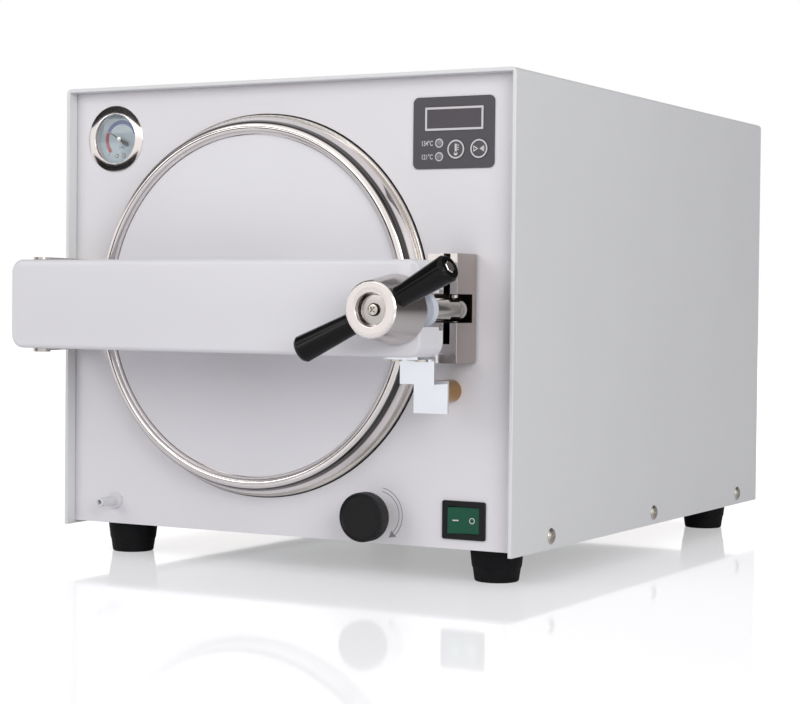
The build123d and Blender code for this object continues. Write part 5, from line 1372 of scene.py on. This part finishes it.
class FluidFittings(SubAssembly):
    """Valve with its hand knob, drain nozzle, door sensor and the tubes behind."""

    sizes = FluidSizes()

    def build(self) -> None:
        """Build and dress the fittings."""
        about = self.centre("sensor_body")
        self.publish_copies("casing", {
            "drain_nozzle": (MOULDED_NYLON, 0.3),
            "sensor_body": (BRASS.turned_about(about), 0.4),
            "valve_body": (BRASS, 0.3),
            "copper_tubes": (COPPER, 0.0),
        })
        self.publish_copies("valve_wheel", {"valve_stem": (TURNED_STEEL, 0.2)})
        self.publish_copies("door_sensor", {"sensor_plunger": (NICKEL, 0.0)})
        self.publish(self.knob(), "valve_wheel", BLACK_ABS, "valve_knob")
        self.arrow()

    def knob(self) -> bpy.types.Object:
        """Fluted hand knob.

        The radius at angle t and height h is r(h) - d |sin(n t / 2)| on the rim's rows, and r(h)
        alone on the face, so n flutes run along the rim.

        Returns:
            The knob.
        """
        s = self.sizes
        bore, depth = s.bore
        corners = [(0, s.front + s.dish), (s.face_radius - 0.6, s.front + s.dish),
                   (s.face_radius, s.front + s.dish - 0.6), (s.face_radius, s.front),
                   (s.radius - 0.2, s.front), (s.radius, s.front + 1.2),
                   (s.radius, s.rear - 1.6), (s.radius - 1.6, s.rear), (bore, s.rear),
                   (bore, s.rear - depth), (0, s.rear - depth)]
        profile = rounded(corners, {1: 0.4, 3: 0.5, 4: 0.8, 5: 0.8, 6: 1.0, 7: 1.0}, steps=5)
        axis = TurnAxis((s.axis[0], 0.0, s.axis[1]))
        segments = s.flutes * 6
        vertices, faces = lathe_arrays(profile, axis, segments, False)
        offset = vertices[:, (0, 2)] - np.array(s.axis)
        reach = np.linalg.norm(offset, axis=1)
        angle = np.arctan2(offset[:, 1], offset[:, 0])
        rim = np.clip((reach - s.face_radius - 0.7) / 0.8, 0, 1)
        depth_here = s.flute_depth * rim * np.abs(np.sin(s.flutes * angle / 2))
        safe = np.maximum(reach, 1e-6)
        vertices[:, (0, 2)] -= offset / safe[:, None] * depth_here[:, None]
        return mesh_object("fluted_knob", self.layout.metres(vertices), faces)

    def arrow(self) -> None:
        """Printed double arc with an arrowhead on the panel behind the knob."""
        s = self.sizes
        ink = s.panel - PRINT - PRINT_GAP
        start, end, tip = s.arc_angles
        for index, (inner, outer) in enumerate(s.arcs):
            band = arc_band(s.axis, inner, outer, start, end)
            self.print_flat(f"turn_arc_{index}", "casing", GREY_INK, band, ink)
        low, middle, high = s.arrowhead
        head = np.array([(s.axis[0] + radius * math.cos(math.radians(angle)),
                          s.axis[1] + radius * math.sin(math.radians(angle)))
                         for radius, angle in ((low, end), (high, end), (middle, tip))])
        self.print_flat("turn_arrowhead", "casing", GREY_INK, head, ink)


class Interior(SubAssembly):
    """Chamber, rack, trays and what lies round them."""

    def build(self) -> None:
        """Dress the inner pieces."""
        self.publish_copies("casing", {
            "chamber_shell": (BRUSHED_STEEL, 0.0),
            "insulation_jacket": (MINERAL_WOOL, 0.0),
            "band_heaters": (ZINC_PLATE, 0.0),
            "chamber_saddles": (ZINC_PLATE, 0.0),
            "tray_rack": (BRUSHED_STEEL, 0.0),
            "instrument_trays": (BRUSHED_STEEL, 0.0),
            "transformer": (IRON, 0.0),
        })


@dataclass(frozen=True)
class CameraSolve:
    """The photograph's viewpoint in working millimetres and degrees."""

    place: Triple = (848.62, -1327.92, 212.18)
    yaw: float = 29.055391
    pitch: float = -1.482529
    roll: float = 0.579794
    focal_pixels: float = 2028.149


@dataclass(frozen=True)
class StudioSizes:
    """Lengths in metres, directions, strengths, and the bands over which a light fades.

    Each fade is a range of the dot product with a direction, or of the ray's rise for the sweep.
    """

    bright_side: Triple = (0.25, -0.9, 0.25)
    bright_fade: Pair = (0.1, 0.5)
    dim: float = 0.1
    fill_fade: Pair = (-0.6, 0.8)
    fill: Pair = (0.36, 0.73)
    sweep_fade: Pair = (0.2, 0.35)
    dim_corner: Triple = (0.485, 0.874, 0.0)
    corner_fade: Pair = (0.7, 0.9)
    floor_reach: float = 8.0
    floor_glow: float = 0.37
    card_line: Pair = (-1.397, -0.5625)
    upper_card: Quad = (-1.15, -0.35, 0.525, 0.8)
    lower_card: Quad = (-1.0, -0.5, 0.1, 0.3)
    lamp_side: float = 1.6


class Studio(SubAssembly):
    """Floor, world, lamps and camera."""

    solve = CameraSolve()
    sizes = StudioSizes()

    def build(self) -> None:
        """Set up the studio."""
        bpy.context.scene.view_settings.view_transform = "Standard"
        self.camera()
        self.world()
        self.floor()
        self.cards()
        self.lamps()

    def camera(self) -> None:
        """Stand the camera where the photograph was taken from."""
        s = self.solve
        yaw, pitch, roll = (math.radians(v) for v in (s.yaw, s.pitch, s.roll))
        ahead = Vector((-math.sin(yaw) * math.cos(pitch), math.cos(yaw) * math.cos(pitch),
                        math.sin(pitch)))
        side = Vector((math.cos(yaw), math.sin(yaw), 0.0))
        upward = side.cross(ahead)
        right = math.cos(roll) * side + math.sin(roll) * upward
        top = -math.sin(roll) * side + math.cos(roll) * upward
        data = bpy.data.cameras.new("photo_camera")
        data.sensor_width = SENSOR_WIDTH
        data.lens = s.focal_pixels / PHOTO_WIDTH * SENSOR_WIDTH
        data.clip_end = 20.0
        camera = bpy.data.objects.new("photo_camera", data)
        place = Vector(self.layout.metres(s.place))
        axes = Matrix((right, top, -ahead)).transposed()
        camera.matrix_world = Matrix.Translation(place) @ axes.to_4x4()
        bpy.context.scene.collection.objects.link(camera)
        bpy.context.scene.camera = camera

    def world(self) -> None:
        """White backdrop for the camera, a dimmer soft fill, and a room for the reflections.

        Metal and glass see a room that is white in front of the object and dim above and behind
        it, but for a white sweep low down that the floor mirrors, open at one rear corner. The
        share of white rises with the dot product of the ray's direction and the bright side's.
        """
        s = self.sizes
        world = bpy.data.worlds.new("studio")
        bpy.context.scene.world = world
        world.use_nodes = True
        tree = world.node_tree
        tree.nodes.clear()
        path = add_node(tree, "ShaderNodeLightPath")
        way = add_node(tree, "ShaderNodeTexCoord").outputs["Generated"]
        share = add_node(tree, "ShaderNodeVectorMath", {1: s.bright_side}, {0: way},
                         operation="DOT_PRODUCT")
        ramp = add_node(tree, "ShaderNodeMapRange",
                        {"From Min": s.bright_fade[0], "From Max": s.bright_fade[1],
                         "To Min": s.dim, "To Max": 1.0},
                        {"Value": share.outputs["Value"]}, interpolation_type="SMOOTHSTEP")
        rise = add_node(tree, "ShaderNodeSeparateXYZ", None, {0: way})
        low = add_node(tree, "ShaderNodeMapRange",
                       {"From Min": s.sweep_fade[0], "From Max": s.sweep_fade[1],
                        "To Min": 1.0, "To Max": 0.0},
                       {"Value": rise.outputs["Z"]})
        corner = add_node(tree, "ShaderNodeVectorMath", {1: s.dim_corner}, {0: way},
                          operation="DOT_PRODUCT")
        open_side = add_node(tree, "ShaderNodeMapRange",
                             {"From Min": s.corner_fade[0], "From Max": s.corner_fade[1],
                              "To Min": 1.0, "To Max": 0.0},
                             {"Value": corner.outputs["Value"]})
        sweep = add_node(tree, "ShaderNodeMath", None,
                         {0: low.outputs[0], 1: open_side.outputs[0]}, operation="MULTIPLY")
        strength = add_node(tree, "ShaderNodeMath", None,
                            {0: ramp.outputs[0], 1: sweep.outputs[0]}, operation="MAXIMUM")
        soft = add_node(tree, "ShaderNodeMapRange",
                        {"From Min": s.fill_fade[0], "From Max": s.fill_fade[1],
                         "To Min": s.fill[0], "To Max": s.fill[1]},
                        {"Value": share.outputs["Value"]})
        mirrored = add_node(tree, "ShaderNodeMath", None,
                            {0: path.outputs["Is Glossy Ray"],
                             1: path.outputs["Is Transmission Ray"]}, operation="MAXIMUM")
        fill = add_node(tree, "ShaderNodeBackground", {"Color": linear_colour("#F8F7F8")},
                        {"Strength": soft.outputs[0]})
        room = add_node(tree, "ShaderNodeBackground", {"Color": linear_colour("#FFFCFB")},
                        {"Strength": strength.outputs[0]})
        backdrop = add_node(tree, "ShaderNodeBackground",
                            {"Color": linear_colour("#FFFFFF"), "Strength": 1.0})
        lit = add_node(tree, "ShaderNodeMixShader", None,
                       {0: mirrored.outputs[0], 1: fill.outputs[0], 2: room.outputs[0]})
        mix = add_node(tree, "ShaderNodeMixShader", None,
                       {0: path.outputs["Is Camera Ray"], 1: lit.outputs[0],
                        2: backdrop.outputs[0]})
        output = add_node(tree, "ShaderNodeOutputWorld")
        tree.links.new(mix.outputs[0], output.inputs[0])

    def stage_quad(self, name: str, corners: list[Triple],
                   material: bpy.types.Material) -> bpy.types.Object:
        """Stand one flat quad in the studio, from its corners in metres.

        Args:
            name: The object's name.
            corners: Four corners in metres.
            material: Its material.

        Returns:
            The quad.
        """
        mesh = bpy.data.meshes.new(name)
        mesh.from_pydata(corners, [], [(0, 1, 2, 3)])
        mesh.materials.append(material)
        quad = bpy.data.objects.new(name, mesh)
        bpy.context.scene.collection.objects.link(quad)
        return quad

    def floor(self) -> None:
        """Plain pale floor, glossy enough to mirror the object under its soft shadow."""
        material = bpy.data.materials.new("pale_laminate")
        material.use_nodes = True
        tree = material.node_tree
        tree.nodes.clear()
        path = add_node(tree, "ShaderNodeLightPath")
        surface = add_node(tree, "ShaderNodeBsdfPrincipled",
                           {"Base Color": linear_colour("#F1F1F4"), "Roughness": 0.06, "IOR": 1.35})
        glow = add_node(tree, "ShaderNodeEmission",
                        {"Color": linear_colour("#FFFFFF"), "Strength": self.sizes.floor_glow})
        lit = add_node(tree, "ShaderNodeAddShader", None,
                       {0: surface.outputs[0], 1: glow.outputs[0]})
        mix = add_node(tree, "ShaderNodeMixShader", None,
                       {0: path.outputs["Is Camera Ray"], 1: surface.outputs[0],
                        2: lit.outputs[0]})
        output = add_node(tree, "ShaderNodeOutputMaterial")
        tree.links.new(mix.outputs[0], output.inputs[0])
        reach = self.sizes.floor_reach
        self.stage_quad("floor", [(-reach, -reach, 0.0), (reach, -reach, 0.0),
                                  (reach, reach, 0.0), (-reach, reach, 0.0)], material)

    def cards(self) -> None:
        """Two dark cards in front on the left, which only the polished metal shows.

        Both stand on one upright plane, whose Y is the card line's start plus its slope times X.
        """
        s = self.sizes
        dark = bpy.data.materials.new("black_card")
        dark.use_nodes = True
        dark.node_tree.nodes["Principled BSDF"].inputs["Base Color"].default_value = (
            linear_colour("#0C0C0D"))
        for name, place in (("upper_card", s.upper_card), ("lower_card", s.lower_card)):
            left, right, low, high = place
            rear, front = (s.card_line[0] + s.card_line[1] * x for x in (left, right))
            card = self.stage_quad(name, [(left, rear, low), (right, front, low),
                                          (right, front, high), (left, rear, high)], dark)
            card.visible_camera = card.visible_diffuse = card.visible_shadow = False
            card.visible_transmission = False

    def lamps(self) -> None:
        """Two large soft lamps in front and one above, each aimed at the object."""
        target = Vector((0.0, 0.0, 0.18))
        for name, place, power in (("key_softbox", (-1.4, -2.6, 1.4), 16.0),
                                   ("side_softbox", (2.4, -2.0, 1.2), 34.0),
                                   ("top_softbox", (0.0, 0.2, 2.4), 3.0)):
            data = bpy.data.lights.new(name, "AREA")
            data.energy, data.size, data.shape = power, self.sizes.lamp_side, "SQUARE"
            lamp = bpy.data.objects.new(name, data)
            lamp.location = place
            lamp.rotation_euler = (target - Vector(place)).to_track_quat("-Z", "Y").to_euler()
            bpy.context.scene.collection.objects.link(lamp)


def main() -> None:
    """Build every sub-assembly in order, then the studio."""
    logging.basicConfig(level=logging.INFO, format="%(message)s")
    layout = Layout.from_cover()
    for part in (Casing, Door, Latch, Gauge, ControlFilm, MainsSwitch, FluidFittings, Interior,
                 Studio):
        LOG.info("building %s", part.__name__)
        part(layout).build()


if __name__ == "__main__":
    main()
